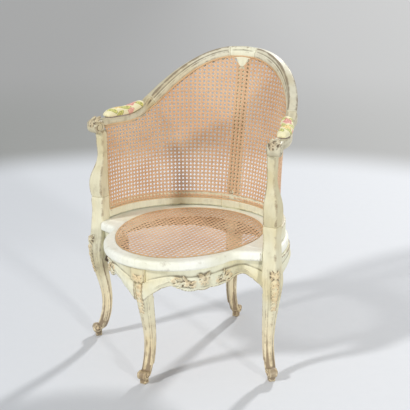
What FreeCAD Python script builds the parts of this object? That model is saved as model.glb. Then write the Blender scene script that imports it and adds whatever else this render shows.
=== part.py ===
"""Caned desk armchair: a horseshoe back and bow-fronted seat on four cabriole legs.

Millimetres, +Z up, +Y towards the back, +X to the right seen from the front.
The pieces are drawn about the centre of the horseshoe and moved at the end, so that the origin
lies on the floor at the middle of the finished chair's footprint. Right-hand pieces are drawn,
and left-hand ones are their mirror images.
"""

import FreeCAD, Part
import math
import os

from FreeCAD import Vector

# Overall sizes
overall_height = 950.0
seat_height = 412.0
arm_height = 726.0
plan_radius = 288.0
back_lean = 0.145
lean_fade_angle = 63.0
lean_fade_power = 3.0
lean_fade_tail = 1.1

# Legs: places, then the cabriole profile measured from each leg's own axis
side_leg_x = 311.0
side_leg_y = -25.0
side_leg_angle = 135.0
front_leg_y = -227.0
back_leg_y = 314.0
stump_side = 40.0
stump_height = 490.0
stump_flare = 10.0
stump_flare_lean = 1.6
block_width = 48.0
block_proud = 2.0
leg_back = 22.0
knee_height = 322.0
knee_reach = 45.0
back_knee_reach = 34.0
knee_diagonal = 67.0
knee_swell = 1.5
ankle_height = 122.0
ankle_reach = 6.0
throat_share = 0.27
ankle_diagonal = 34.0
ridge_width = 5.0
edge_round = 2.0
fine_round = 1.2
soft_round = 4.0
toe_radius = 14.0
toe_reach = 28.0
toe_width = 26.0
toe_eye_radius = 6.0
eye_stand = 2.0
foot_side = 21.0
foot_height = 13.0

# Seat rails
rail_thickness = 34.0
rail_depth = 44.0
apron_drop = 22.0
apron_middle = 0.53
apron_spread = 0.25
apron_power = 6
knee_bracket_drop = 80.0
knee_bracket_share = 0.3
stump_bracket_drop = 60.0
stump_bracket_share = 0.2
back_bracket_drop = 26.0
back_bracket_power = 4
band_share = 0.55
band_swell = 3.0
band_proud = 1.0
band_round = 5.5
rail_start_share = 0.03
seat_overhang = 16.0
back_rail_radius = 327.0
back_rail_from = 1.5
back_rail_to = 92.5

# Seat frame and its cane
bow_radius = 213.0
bow_centre_y = -77.0
bow_angle = 81.0
hollow_radius = 45.0
hollow_end_angle = 20.0
seat_frame_thickness = 30.0
seat_frame_width = 46.0
seat_back_radius = 320.0
cane_back_radius = 216.0
cane_back_y = 42.0
cane_rebate = 8.0
cane_thickness = 2.0
cane_pitch = 42.0
cane_strand = 12.0
cane_margin = 12.0
notch_gap = 2.5
nosing_top = 11.0
nosing_bottom = 9.0

# Back
top_rail_height = 40.0
top_rail_depth = 34.0
lower_rail_height = 46.0
lower_rail_depth = 22.0
lower_rail_gap = 3.0
lower_cane_band = 20.0
lower_rail_end_angle = 95.0
cane_step = 3.0
cane_band = 8.0
cane_lap = 1.0
cane_seam_angle = 2.0
cane_end_angle = 90.5
cane_grid_angle = 83.0
cane_columns = 12
cane_rows = 8
step_slope = 2.0
rail_bead_top = 3.0
rail_groove = 4.0
rail_groove_top = 6.0
crest_setback = 3.0
crest_round = 4.5
rear_round = 6.0
shoulder_angle = 73.0
shoulder_fullness = 1.13
head_width = 76.0
drop_width = 66.0
drop_tip_width = 15.0
drop_height = 36.0
stile_width = 46.0
stile_depth = 20.0
stile_gap = 1.5
stile_foot_width = 72.0
stile_foot_depth = 22.0

# Arms, arm posts and pads
arm_joint_angle = 52.0
arm_blend_angle = 8.0
arm_bulge = 8.0
arm_bulge_angle = 30.0
arm_width = 36.0
arm_thickness = 28.0
arm_flare = 12.0
arm_flare_radius = 150.0
arm_tuck = 1.0
arm_bead_top = 2.0
arm_setback = 5.0
scroll_radius = 20.5
scroll_width = 39.0
scroll_eye_radius = 8.0
belly_rise = 45.0
belly_reach = 35.0
neck_drop = 94.0
neck_reach = 5.0
post_back = 27.0
post_top_reach = 14.0
post_top_blend = 0.3
post_bury = 8.0
pad_from_angle = 56.5
pad_to_angle = 88.0
pad_width = 46.0
pad_crown = 29.0
pad_draw_in = 3.0
pad_spring_share = 0.36
pad_end_width_share = 0.55
pad_end_crown_share = 0.4
pad_end_power = 3.5

# Joinery
tenon_length = 17.0
tenon_thickness = 10.0
tenon_height = 22.0
tenon_root = 14.0
tenon_wall = 3.0
lower_tenon_height = 24.0
post_tenon_side = 14.0
post_tenon_length = 24.0
peg_radius = 3.5
peg_setback = 9.0
dowel_radius = 4.5
dowel_length = 40.0
seat_dowel_length = 36.0
front_dowel_shares = (0.3, 0.75)
back_dowel_angles = (28.0, 68.0)
tongue_length = 36.0
tongue_width = 20.0
tongue_thickness = 6.0
tongue_level = 0.45
fit_gap = 0.2

# Heights and radii that follow from the sizes above
rail_top = seat_height - seat_frame_thickness
rail_middle = rail_top - rail_depth / 2
crest_height = overall_height - top_rail_height / 2
frame_radius = plan_radius + top_rail_depth / 2
cane_face = top_rail_depth / 2 - cane_step
lower_rail_bottom = seat_height + lower_rail_gap
lower_rail_middle = lower_rail_bottom + lower_rail_height / 2
lower_rail_top = lower_rail_bottom + lower_rail_height
stump_diagonal = stump_side * math.sqrt(2)
belly_height = stump_height + belly_rise
neck_height = arm_height - neck_drop
head_angle = math.degrees(math.asin(head_width / 2 / frame_radius))
stile_front = plan_radius + cane_step
foot_angle = math.degrees(math.asin(stile_foot_width / 2 / frame_radius))
scroll_angle = 90 + arm_flare * arm_flare_radius / frame_radius
UP = Vector(0, 0, 1)
RIGHT = Vector(1, 0, 0)
BACK = Vector(0, 1, 0)


# Plane and solid helpers

def arc_edge(start, middle, end):
    return Part.Arc(start, middle, end).toShape()


def line_edge(start, end):
    return Part.LineSegment(start, end).toShape()


def moulded_wire(corners):
    """Closed wire in the XY plane through (x, y, radius) corners; a corner is broken by a flat,
    or by two flats where its radius is a soft one."""
    count = len(corners)
    points = []
    for i, (x, y, radius) in enumerate(corners):
        here = Vector(x, y, 0)
        before = (Vector(*corners[i - 1][:2], 0) - here).normalize()
        after = (Vector(*corners[(i + 1) % count][:2], 0) - here).normalize()
        half = before.getAngle(after) / 2
        setback = radius / math.tan(half)
        points.append(here + before * setback)
        if radius >= soft_round:
            points.append(here + (before + after).normalize() * (radius / math.sin(half) - radius))
        points.append(here + after * setback)
    return Part.makePolygon(points + points[:1])


def placed(shape, origin, x_axis, y_axis):
    """The shape with its own X and Y axes turned to the given unit vectors and set at origin."""
    z_axis = x_axis.cross(y_axis)
    moved = shape.copy()
    moved.Placement = FreeCAD.Placement(FreeCAD.Matrix(
        x_axis.x, y_axis.x, z_axis.x, origin.x,
        x_axis.y, y_axis.y, z_axis.y, origin.y,
        x_axis.z, y_axis.z, z_axis.z, origin.z,
        0, 0, 0, 1))
    return moved


def loft(wires):
    return Part.makeLoft(wires, True, False)


def upright(width, depth, low, high, x, y):
    """Box with level ends, centred on x and y."""
    return Part.makeBox(width, depth, high - low, Vector(x - width / 2, y - depth / 2, low))


def rod(radius, length, middle, direction):
    axis = Vector(direction).normalize()
    return Part.makeCylinder(radius, length, middle - axis * (length / 2), axis)


def raised(wire, low, high):
    return Part.Face(wire).extrude(UP * (high - low)).translated(UP * low)


def flipped(thing):
    """A point or a shape mirrored to the chair's left side."""
    if isinstance(thing, Vector):
        return Vector(-thing.x, thing.y, thing.z)
    return thing.mirror(Vector(0, 0, 0), RIGHT)


def both(shape):
    return [shape, flipped(shape)]


def behind(shape, y):
    """What lies behind an upright plane across the chair."""
    reach = 4 * plan_radius
    return shape.common(Part.makeBox(2 * reach, reach, reach, Vector(-reach, y, 0)))


def spread(first, last, count):
    return [first + (last - first) * i / (count - 1) for i in range(count)]


def ease(share):
    """Smooth step from 0 to 1."""
    share = min(max(share, 0.0), 1.0)
    return (1 - math.cos(math.pi * share)) / 2


def mix(first, second, share):
    return first + (second - first) * share


def polar(radius, degrees, z=0.0):
    """Point at an angle from the middle of the back, positive to the right."""
    angle = math.radians(degrees)
    return Vector(radius * math.sin(angle), radius * math.cos(angle), z)


# Legs, each drawn with its outer corner along +X

def leg_section(z, reach, back, half, ridge, flat):
    """Eight-sided section: outer ridge at reach, side flats at half, inner ridge at back."""
    middle = (reach - back) / 2
    corners = [(reach, -ridge), (reach, ridge), (middle + flat, half), (middle - flat, half),
               (-back, ridge), (-back, -ridge), (middle - flat, -half), (middle + flat, -half)]
    wire = moulded_wire([(x, y, edge_round) for x, y in corners])
    wire.translate(UP * z)
    return wire


def diamond(z, reach, diagonal):
    """Square section standing on its corner."""
    ridge = ridge_width / 2
    return leg_section(z, reach, diagonal - reach, diagonal / 2, ridge, ridge)


def square_wire(left, right, half):
    """Level rectangle with broken corners, from left to right along X."""
    corners = ((left, -half), (right, -half), (right, half), (left, half))
    return moulded_wire([(x, y, edge_round) for x, y in corners])


def cabriole_wires(knee):
    """Sections from the toe to the knee: a hollow throat, a slim ankle and a swelling knee."""
    toe_top = foot_height + toe_radius
    throat = mix(toe_top, ankle_height, 0.5)
    wires = [diamond(toe_top, toe_reach + edge_round, ankle_diagonal),
             diamond(throat, mix(ankle_reach, toe_reach, throat_share), ankle_diagonal)]
    for share in spread(0, 1, 6):
        z = mix(ankle_height, knee_height, share)
        wires.append(diamond(z, mix(ankle_reach, knee, ease(share)),
                             mix(ankle_diagonal, knee_diagonal, share ** knee_swell)))
    return wires


def foot():
    """Scrolled toe with an eye on each side, standing on a small block."""
    centre = Vector(toe_reach, 0, foot_height + toe_radius)
    roll = rod(toe_radius, toe_width, centre, BACK)
    eye = rod(toe_eye_radius, toe_width + 2 * eye_stand, centre, BACK)
    front = toe_reach - toe_eye_radius + foot_side / 2
    stand = raised(square_wire(front - foot_side, front, foot_side / 2), 0, centre.z)
    return roll.fuse([eye, stand])


def leg(wires, extras, x, y, degrees):
    """Leg from its sections, with its outer corner at an angle from the middle of the back."""
    shape = loft(wires).fuse([foot()] + extras).removeSplitter()
    out = polar(1, degrees)
    return placed(shape, Vector(x, y, 0), out, UP.cross(out))


def stump_section(z):
    """Reach and diagonal of the right stump at a height above the knee."""
    flare = stump_flare * (1 - (z - knee_height) / (stump_height - knee_height)) ** 2
    return stump_diagonal / 2 + flare * stump_flare_lean, stump_diagonal + flare


def stump_faces(z):
    """Inner, front and back faces of the right stump at a height, as x, y and y."""
    reach, diagonal = stump_section(z)
    side = diagonal / math.sqrt(2)
    front = side_leg_y - reach / math.sqrt(2)
    return side_leg_x + reach / math.sqrt(2) - side, front, front + side


def side_leg():
    """Right leg, which runs up past the seat as a square stump."""
    wires = cabriole_wires(knee_reach)
    for z in spread(knee_height, stump_height, 6)[1:]:
        wires.append(diamond(z, *stump_section(z)))
    return leg(wires, [], side_leg_x, side_leg_y, side_leg_angle)


def block_leg(knee, face, y, degrees):
    """Front or back leg, with a square block above its knee that stands a little proud of the rails."""
    wires = cabriole_wires(knee)
    for z in spread(knee_height, rail_top, 4)[1:]:
        wires.append(diamond(z, knee, knee_diagonal))
    outline = square_wire(-leg_back, face + block_proud, block_width / 2)
    return leg(wires, [raised(outline, rail_top - rail_depth, rail_top)], 0, y, degrees)


def front_leg():
    face = bow_radius - seat_overhang - bow_centre_y + front_leg_y
    return block_leg(knee_reach, face, front_leg_y, 180)


def back_leg():
    return block_leg(back_knee_reach, back_rail_radius - back_leg_y, back_leg_y, 0)


# Seat rails

class Bow:
    """Right half of the bow front drawn in by an offset: a convex arc, a hollow arc, then a
    straight run to the stump's inner face."""

    def __init__(self, offset):
        self.turn = math.radians(bow_angle)
        self.last = math.radians(hollow_end_angle)
        self.convex = bow_radius - offset
        self.hollow = hollow_radius + offset
        self.centre = Vector(0, bow_centre_y, 0)
        self.hollow_centre = self.centre + self.out(self.turn) * (bow_radius + hollow_radius)
        self.first = self.convex * self.turn
        self.second = self.first + self.hollow * (self.turn - self.last)
        self.run_start = self.hollow_centre - self.out(self.last) * self.hollow
        run = (side_leg_x - stump_side / 2 - self.run_start.x) / math.cos(self.last)
        self.length = self.second + run

    @staticmethod
    def out(angle):
        return Vector(math.sin(angle), -math.cos(angle), 0)

    def at(self, distance):
        """Point and outward direction at a distance from the middle of the front."""
        if distance <= self.first:
            out = self.out(distance / self.convex)
            return self.centre + out * self.convex, out
        if distance <= self.second:
            out = self.out(self.turn - (distance - self.first) / self.hollow)
            return self.hollow_centre - out * self.hollow, out
        out = self.out(self.last)
        return self.run_start + UP.cross(out) * (distance - self.second), out


def apron_low(share):
    """Lower edge of a front rail: a drop in the middle for the carving, brackets down to the legs."""
    drop = apron_drop * math.exp(-((share - apron_middle) / apron_spread) ** apron_power)
    knee_bracket = knee_bracket_drop * max(0.0, 1 - share / knee_bracket_share) ** 2
    stump_bracket = stump_bracket_drop * max(0.0, 1 - (1 - share) / stump_bracket_share) ** 2
    return rail_top - rail_depth - drop - knee_bracket - stump_bracket


def rail_section(low, half):
    """Moulded section of a seat rail, X outwards and Y up: a cove above a swelling lower band."""
    band = mix(low, rail_top, band_share)
    return moulded_wire([
        (-half, low, edge_round), (half - band_swell, low, band_round),
        (half + band_proud, mix(low, band, band_share), band_round), (half - band_proud, band, fine_round),
        (half - band_swell - band_proud, band + band_swell, edge_round),
        (half - band_swell / 2, rail_top, fine_round), (-half, rail_top, edge_round)])


def front_rail():
    """Right front rail along the bow, from the front leg's block into the right stump."""
    half = rail_thickness / 2
    bow = Bow(seat_overhang + half)
    wires = []
    for share in spread(rail_start_share, 1 + rail_start_share, 21):
        point, out = bow.at(bow.length * share)
        wires.append(placed(rail_section(apron_low(share), half), point, out, UP))
    return loft(wires)


def back_rail():
    """Right back rail, an arc from the back leg's block to the stump."""
    half = rail_thickness / 2
    wires = []
    for degrees in spread(back_rail_from, back_rail_to, 13):
        low = rail_top - rail_depth - back_bracket_drop * (2 * degrees / 90 - 1) ** back_bracket_power
        point = polar(back_rail_radius - half, degrees)
        wires.append(placed(rail_section(low, half), point, polar(1, degrees), UP))
    return loft(wires)


# Seat frame

def cane_outline(grow):
    """Egg-shaped edge of the seat's opening, four tangent arcs, grown outwards."""
    front = bow_radius - seat_frame_width
    rise = cane_back_y - bow_centre_y
    side = (cane_back_radius ** 2 + rise ** 2 - front ** 2) / (2 * (cane_back_radius - front))
    side_centre = Vector(cane_back_radius - side, cane_back_y, 0)
    sweep = math.atan2(bow_centre_y - side_centre.y, -side_centre.x)
    points = []
    for angle in (0, sweep / 2, sweep):
        points.append(side_centre + Vector(math.cos(angle), math.sin(angle), 0) * (side + grow))
    widest, between, meeting = points
    back = Vector(0, cane_back_y + cane_back_radius + grow, 0)
    bow = Vector(0, bow_centre_y - front - grow, 0)
    return Part.Wire([arc_edge(widest, back, flipped(widest)),
                      arc_edge(flipped(widest), flipped(between), flipped(meeting)),
                      arc_edge(flipped(meeting), bow, meeting),
                      arc_edge(meeting, between, widest)])


def seat_outline():
    """Outer edge of the seat frame: the bow in front, an arc behind."""
    bow = Bow(0)
    places = (0, bow.first, (bow.first + bow.second) / 2, bow.second, bow.length)
    front, meeting, hollow, run, end = (bow.at(place)[0] for place in places)
    back_end = Vector(math.sqrt(seat_back_radius ** 2 - side_leg_y ** 2), side_leg_y, 0)
    right = [arc_edge(meeting, hollow, run), line_edge(run, end), line_edge(end, back_end)]
    left = [flipped(edge) for edge in reversed(right)]
    return Part.Wire([arc_edge(flipped(meeting), front, meeting)] + right
                     + [arc_edge(back_end, BACK * seat_back_radius, flipped(back_end))] + left)


def level_edges(body, z):
    return [e for e in body.Edges if abs(e.BoundBox.ZMin - z) < 0.1 and abs(e.BoundBox.ZMax - z) < 0.1]


def seat_ring():
    """The whole seat frame before it is parted into its members."""
    body = raised(seat_outline(), rail_top, seat_height)
    body = body.makeFillet(nosing_top, level_edges(body, seat_height))
    body = body.makeFillet(nosing_bottom, level_edges(body, rail_top))
    above, below = seat_height + 1, rail_top - 1
    inner, front, back = stump_faces(rail_top)
    notch = Part.makeBox(plan_radius, back - front + stump_side + notch_gap, above - below,
                         Vector(inner - notch_gap, front - stump_side, below))
    stile_hole = Part.makeBox(stile_foot_width + 2 * fit_gap, plan_radius, above - below,
                              Vector(-stile_foot_width / 2 - fit_gap, stile_front - fit_gap, below))
    rebate = raised(cane_outline(cane_rebate + fit_gap), seat_height - cane_thickness - fit_gap, above)
    return body.cut([raised(cane_outline(0), below, above), rebate, stile_hole] + both(notch))


# Top rails and arms

def frame_height(degrees):
    """Height of the top rail's middle line: a full shoulder that sweeps down to the arm."""
    share = min(abs(degrees) / shoulder_angle, 1.0) ** shoulder_fullness
    return mix(crest_height, arm_height, ease(share))


def lean_at(degrees):
    """Outward slope of the back, which fades out towards the arms."""
    return back_lean * (1 - min(abs(degrees) / lean_fade_angle, 1.0) ** lean_fade_power) ** lean_fade_tail


def frame_half_height(degrees):
    return mix(top_rail_height, arm_thickness, arm_share(abs(degrees))) / 2


def frame_point(degrees):
    """Middle line of the top rails and arms; past the quarter turn the arm flares outwards."""
    height = frame_height(degrees)
    bulge = arm_bulge * ease((degrees - 90) / arm_bulge_angle + 1)
    radius = frame_radius + bulge + lean_at(degrees) * (height - seat_height)
    if degrees <= 90:
        return polar(radius, degrees, height)
    turn = math.radians(degrees - 90) * frame_radius / arm_flare_radius
    out = arm_flare_radius * (1 - math.cos(turn))
    return Vector(radius + out, -arm_flare_radius * math.sin(turn), height)


def frame_axes(degrees):
    """Direction along the rail, direction towards the sitter and direction of the upper side."""
    step = 0.05
    along = (frame_point(degrees + step) - frame_point(degrees - step)).normalize()
    facing = Vector(along.y, -along.x, 0).normalize() + UP * lean_at(degrees)
    facing = (facing - along * facing.dot(along)).normalize()
    return along, facing, facing.cross(along)


def arm_share(degrees):
    """How far the section has changed from the top rail's to the arm's."""
    return ease((degrees - arm_joint_angle) / arm_blend_angle)


def frame_section(degrees):
    """Moulded section of the top rail or arm, with a sunk band for the cane on the sitter's side."""
    deep, high = top_rail_depth / 2, top_rail_height / 2
    wide, thick = arm_width / 2, arm_thickness / 2
    rail = [(-deep, -high, rear_round), (cane_face, -high, fine_round),
            (cane_face, cane_band - high, fine_round), (deep, cane_band - high + step_slope, edge_round),
            (deep, rail_bead_top, edge_round), (deep - rail_groove, rail_groove_top, edge_round),
            (deep - crest_setback, high, crest_round), (-deep, high, rear_round)]
    arm = [(arm_tuck - wide, -thick, rear_round), (cane_face, -thick, fine_round),
           (cane_face, cane_band - thick, fine_round),
           (wide - arm_tuck, cane_band - thick + step_slope, edge_round), (wide, arm_bead_top, edge_round),
           (wide - arm_tuck, rail_groove_top, edge_round), (wide - arm_setback, thick, crest_round),
           (-wide, thick, rear_round)]
    share = arm_share(degrees)
    corners = [tuple(mix(a, b, share) for a, b in zip(p, q)) for p, q in zip(rail, arm)]
    _, facing, upper = frame_axes(degrees)
    return placed(moulded_wire(corners), frame_point(degrees), facing, upper)


def frame_piece(first, last, count):
    return loft([frame_section(d) for d in spread(first, last, count)])


def scroll_centre():
    return frame_point(scroll_angle) + UP * (arm_thickness / 2 - scroll_radius)


def arm():
    """Right arm from the shoulder joint to its rolled front end."""
    body = frame_piece(arm_joint_angle, scroll_angle, 9)
    across = UP.cross(frame_axes(scroll_angle)[0])
    roll = rod(scroll_radius, scroll_width, scroll_centre(), across)
    roll = roll.makeFillet(edge_round, [e for e in roll.Edges if isinstance(e.Curve, Part.Circle)])
    eye = rod(scroll_eye_radius, scroll_width + 2 * eye_stand, scroll_centre(), across)
    return body.fuse([roll, eye]).removeSplitter()


def post_out():
    """Level direction of the right arm post's outer corner."""
    return polar(1, side_leg_angle)


def arm_post():
    """Right S-shaped arm post: a belly above the stump and a slim neck under the scroll."""
    top = scroll_centre().z - scroll_radius + post_bury
    stations = [(stump_height, stump_diagonal / 2, stump_diagonal / 2)]
    for share in spread(0, 1, 5):
        reach = mix(belly_reach, neck_reach, ease(share))
        stations.append((mix(belly_height, neck_height, share), reach, post_back))
    stations.append((mix(neck_height, top, 0.5), mix(neck_reach, post_top_reach, post_top_blend), post_back))
    stations.append((top, post_top_reach, post_back))
    wires = [diamond(z, reach, reach + back) for z, reach, back in stations]
    out = post_out()
    return placed(loft(wires), Vector(side_leg_x, side_leg_y, 0), out, UP.cross(out))


# Lower back rail and stile

def arc_rail(first, last):
    """Piece of the lower back rail between two angles, with a sunk band for the cane."""
    half, deep = lower_rail_height / 2, top_rail_depth / 2
    rear = deep - lower_rail_depth
    wire = moulded_wire([(rear, -half, edge_round), (deep, -half, edge_round),
                         (deep, half - lower_cane_band - step_slope, edge_round),
                         (cane_face, half - lower_cane_band, fine_round), (cane_face, half, fine_round),
                         (rear, half, soft_round)])
    middle = polar(frame_radius, first, lower_rail_middle)
    face = Part.Face(placed(wire, middle, polar(-1, first), UP))
    return face.revolve(Vector(0, 0, 0), UP, first - last)


def lower_rail():
    return behind(arc_rail(foot_angle, lower_rail_end_angle), stump_faces(lower_rail_middle)[2])


def stile_middle(height):
    """Middle of the stile's shaft at a height, just behind the cane."""
    share = (height - lower_rail_middle) / (crest_height - lower_rail_middle)
    cane_y = mix(frame_radius, frame_point(0).y, share) - cane_face
    return Vector(0, cane_y + stile_gap + stile_depth / 2, height)


def stile_drop(grow):
    """V-shaped drop under the stile's head, standing as far forward as the rail's moulding."""
    _, facing, upper = frame_axes(0)
    top = cane_band + cane_lap - top_rail_height / 2
    wide, tip, low = drop_width / 2 + grow, drop_tip_width / 2 + grow, top - drop_height - grow
    outline = moulded_wire([(-wide, top, fine_round), (-tip, low, soft_round), (tip, low, soft_round),
                            (wide, top, fine_round)])
    depth = top_rail_depth - cane_step / 2
    prism = Part.Face(outline).extrude(UP * -depth)
    front = frame_point(0) + facing * (top_rail_depth / 2 - cane_step / 4)
    return placed(prism, front, upper.cross(facing), upper)


def back_stile():
    """Middle stile: moulded head, V drop, shaft behind the cane and a foot through the seat frame."""
    shaft_wires = []
    half, deep = stile_width / 2, stile_depth / 2
    for height in (lower_rail_middle, crest_height):
        wire = moulded_wire([(-half, -deep, edge_round), (half, -deep, edge_round),
                             (half, deep, soft_round), (-half, deep, soft_round)])
        shaft_wires.append(placed(wire, stile_middle(height), RIGHT, BACK))
    base = arc_rail(-foot_angle, foot_angle)
    stand = upright(stile_foot_width, stile_foot_depth, rail_top, lower_rail_middle, 0,
                    stile_front + stile_foot_depth / 2)
    head = loft([frame_section(d) for d in (0, head_angle)])
    pieces = [flipped(head), stile_drop(0), loft(shaft_wires), base, stand, stile_tenon(0)]
    return head.fuse(pieces).removeSplitter()


# Cane and arm pads

def cane_section(degrees, inset, stand):
    """Thin upright section of the back cane between the bands of the lower and upper frame, drawn in
    by an inset at its two edges and thickened to both sides."""
    _, facing, upper = frame_axes(abs(degrees))
    lift = cane_face + fit_gap
    edge = cane_band - cane_lap - frame_half_height(degrees)
    top = frame_point(abs(degrees)) + facing * lift + upper * edge
    low = polar(frame_radius - lift, abs(degrees), lower_rail_top - lower_cane_band + cane_lap)
    draw = (top - low).normalize() * inset
    front = Vector(facing.x, facing.y, 0).normalize()
    near, far = front * (cane_thickness + stand), front * -stand
    corners = [low + draw + far, low + draw + near, top - draw + near, top - draw + far]
    if degrees < 0:
        corners = [flipped(c) for c in corners]
    return Part.makePolygon(corners + corners[:1])


def cane_sheet(last, inset, stand):
    """Back cane between two angles, in narrow flat strips from one upright section to the next."""
    half = spread(cane_seam_angle, last, 15)
    angles = [-d for d in reversed(half)] + half
    return Part.makeLoft([cane_section(d, inset, stand) for d in angles], True, True)


def opened(sheet, field, cells):
    """Sheet of cane with a plain grid of openings that stands for its weave: the cells are cut to the
    field inside the sheet's margin, and slivers at its edge are left closed."""
    openings = Part.makeCompound(cells).common(field).Solids
    sliver = cane_strand ** 2 * cane_thickness
    return sheet.cut([opening for opening in openings if opening.Volume > sliver])


def back_cane():
    """Back cane in one sheet, opened between the stile's drop and the arm posts."""
    field = cane_sheet(cane_grid_angle, cane_margin, cane_thickness).cut(stile_drop(cane_margin))
    rims = (plan_radius / 2, 2 * plan_radius)
    gap = math.degrees(cane_strand / 2 / plan_radius)
    lines = spread(-cane_grid_angle, cane_grid_angle, cane_columns + 1)
    levels = spread(lower_rail_top, crest_height, cane_rows + 1)
    cells = []
    for left, right in zip(lines, lines[1:]):
        corners = [polar(rims[0], left + gap), polar(rims[1], left + gap),
                   polar(rims[1], right - gap), polar(rims[0], right - gap)]
        wedge = Part.makePolygon(corners + corners[:1])
        for low, high in zip(levels, levels[1:]):
            cells.append(raised(wedge, low + cane_strand / 2, high - cane_strand / 2))
    return opened(cane_sheet(cane_end_angle, 0, 0), field, cells)


def seat_cane():
    """Sheet of seat cane, opened by a square grid."""
    top = seat_height - fit_gap / 2
    low, high = top - 2 * cane_thickness, top + cane_thickness
    side = cane_pitch - cane_strand
    reach = int(cane_back_radius / cane_pitch) + 1
    steps = [i * cane_pitch for i in range(-reach, reach + 1)]
    cells = [upright(side, side, low, high, x, y + cane_back_y / 2) for x in steps for y in steps]
    sheet = raised(cane_outline(cane_rebate), top - cane_thickness, top)
    return opened(sheet, raised(cane_outline(-cane_margin), low, high), cells)


def pad_section(half, crown):
    """Section of a pad on its base: sides that draw in to the base and an arched crown of flats."""
    spring = crown * pad_spring_share
    arch = [Vector(half * math.cos(a), spring + (crown - spring) * math.sin(a), 0)
            for a in spread(0, math.pi, 11)]
    base = [Vector(pad_draw_in - half, 0, 0), Vector(half - pad_draw_in, 0, 0)]
    return Part.makePolygon(base + arch + base[:1])


def arm_pad():
    """Crowned pad on the right arm, drawn in at its base and towards both ends."""
    wires = []
    for share in spread(0, 1, 9):
        degrees = mix(pad_from_angle, pad_to_angle, share)
        swell = math.sqrt(1 - abs(2 * share - 1) ** pad_end_power)
        wire = pad_section(pad_width / 2 * mix(pad_end_width_share, 1, swell),
                           pad_crown * mix(pad_end_crown_share, 1, swell))
        _, facing, upper = frame_axes(degrees)
        base = frame_point(degrees) + upper * (frame_half_height(degrees) + fit_gap)
        wires.append(placed(wire, base, facing, upper))
    return loft(wires)


# Joinery: each tenon is drawn once, and grown by the fit gap for its mortise

def tenon(place, direction, height, grow):
    """Level tenon that enters its mortise at a place, with its root in the rail behind it."""
    along = Vector(direction).normalize()
    length = tenon_root + tenon_length + grow
    width, tall = tenon_thickness + 2 * grow, height + 2 * grow
    box = Part.makeBox(length, width, tall, Vector(-tenon_root, -width / 2, -tall / 2))
    return placed(box, place, along, UP.cross(along))


def front_tenon(grow):
    """Right front rail's tenon in the front leg."""
    middle = bow_centre_y - bow_radius + seat_overhang + rail_thickness / 2
    return tenon(Vector(block_width / 2, middle, rail_middle), -RIGHT, tenon_height, grow)


def side_tenon_place():
    return Vector(stump_faces(rail_middle)[0], side_leg_y + tenon_thickness / 4, rail_middle)


def side_tenon(grow):
    """Right front rail's tenon in the right stump's inner face."""
    return tenon(side_tenon_place(), RIGHT, tenon_height, grow)


def rear_tenon(grow):
    """Right back rail's tenon in the back leg."""
    middle = back_rail_radius - rail_thickness / 2
    return tenon(Vector(block_width / 2, middle, rail_middle), -RIGHT, tenon_height, grow)


def flank_tenon_place():
    """Beside the end of the front rail's tenon, with a wall between them."""
    x = side_tenon_place().x + tenon_length + tenon_wall + tenon_thickness / 2
    return Vector(x, stump_faces(rail_middle)[2], rail_middle)


def flank_tenon(grow):
    """Right back rail's tenon in the right stump's back face."""
    return tenon(flank_tenon_place(), -BACK, tenon_height, grow)


def lower_tenon(grow):
    """Right lower rail's tenon in the right stump's back face."""
    place = Vector(plan_radius + lower_rail_depth / 2, stump_faces(lower_rail_middle)[2], lower_rail_middle)
    return tenon(place, -BACK, lower_tenon_height, grow)


def stile_tenon(grow):
    """Stile's tenon down into the back leg."""
    side = post_tenon_side + 2 * grow
    return upright(side, tenon_thickness + 2 * grow, rail_top - post_tenon_length - grow,
                   rail_top + tenon_root, 0, stile_front + stile_foot_depth / 2)


def post_foot_tenon(grow):
    """Arm post's tenon down into the right stump."""
    side = post_tenon_side + 2 * grow
    return upright(side, side, stump_height - post_tenon_length - grow, stump_height + tenon_root,
                   side_leg_x, side_leg_y)


def post_head_tenon(grow):
    """Arm post's tenon up into the arm."""
    top = scroll_centre().z - scroll_radius + post_bury
    side = post_tenon_side + 2 * grow
    middle = Vector(side_leg_x, side_leg_y, 0) + post_out() * ((post_top_reach - post_back) / 4)
    return upright(side, side, top - tenon_root, top + post_tenon_length / 2 + grow, middle.x, middle.y)


def peg(place, direction, length):
    """Peg through a tenon, reaching out from its middle plane in one direction."""
    start = place - direction * tenon_thickness
    return Part.makeCylinder(peg_radius, length + tenon_thickness, start, direction)


def peg_hole(place, direction, length):
    start = place - direction * (tenon_thickness + fit_gap)
    return Part.makeCylinder(peg_radius + fit_gap / 2, length + tenon_thickness + fit_gap, start, direction)


def leg_pegs():
    """Place and direction of each right-hand peg: in the front leg, the stump and the back leg."""
    inset = tenon_length - peg_setback
    middle = bow_centre_y - bow_radius + seat_overhang + rail_thickness / 2
    return {
        "front_leg": (Vector(block_width / 2 - inset, middle, rail_middle), BACK),
        "side_leg": (side_tenon_place() + RIGHT * inset, -BACK),
        "flank": (flank_tenon_place() - BACK * inset, RIGHT),
        "back_leg": (Vector(block_width / 2 - inset, back_rail_radius - rail_thickness / 2, rail_middle),
                     -BACK)}


def dowel_places():
    """Middle and direction of each right-hand dowel of the back: head, shoulder and lower rail."""
    lower = polar(plan_radius + lower_rail_depth / 2, foot_angle, lower_rail_middle)
    return [(frame_point(head_angle), frame_axes(head_angle)[0]),
            (frame_point(arm_joint_angle), frame_axes(arm_joint_angle)[0]),
            (lower, polar(1, foot_angle + 90))]


def seat_dowel_places():
    """Right-hand dowels between the rails and the seat frame."""
    bow = Bow(seat_overhang + rail_thickness / 2)
    places = [bow.at(bow.length * share)[0] for share in front_dowel_shares]
    places += [polar(back_rail_radius - rail_thickness / 2, d) for d in back_dowel_angles]
    return [place + UP * rail_top for place in places]


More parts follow.
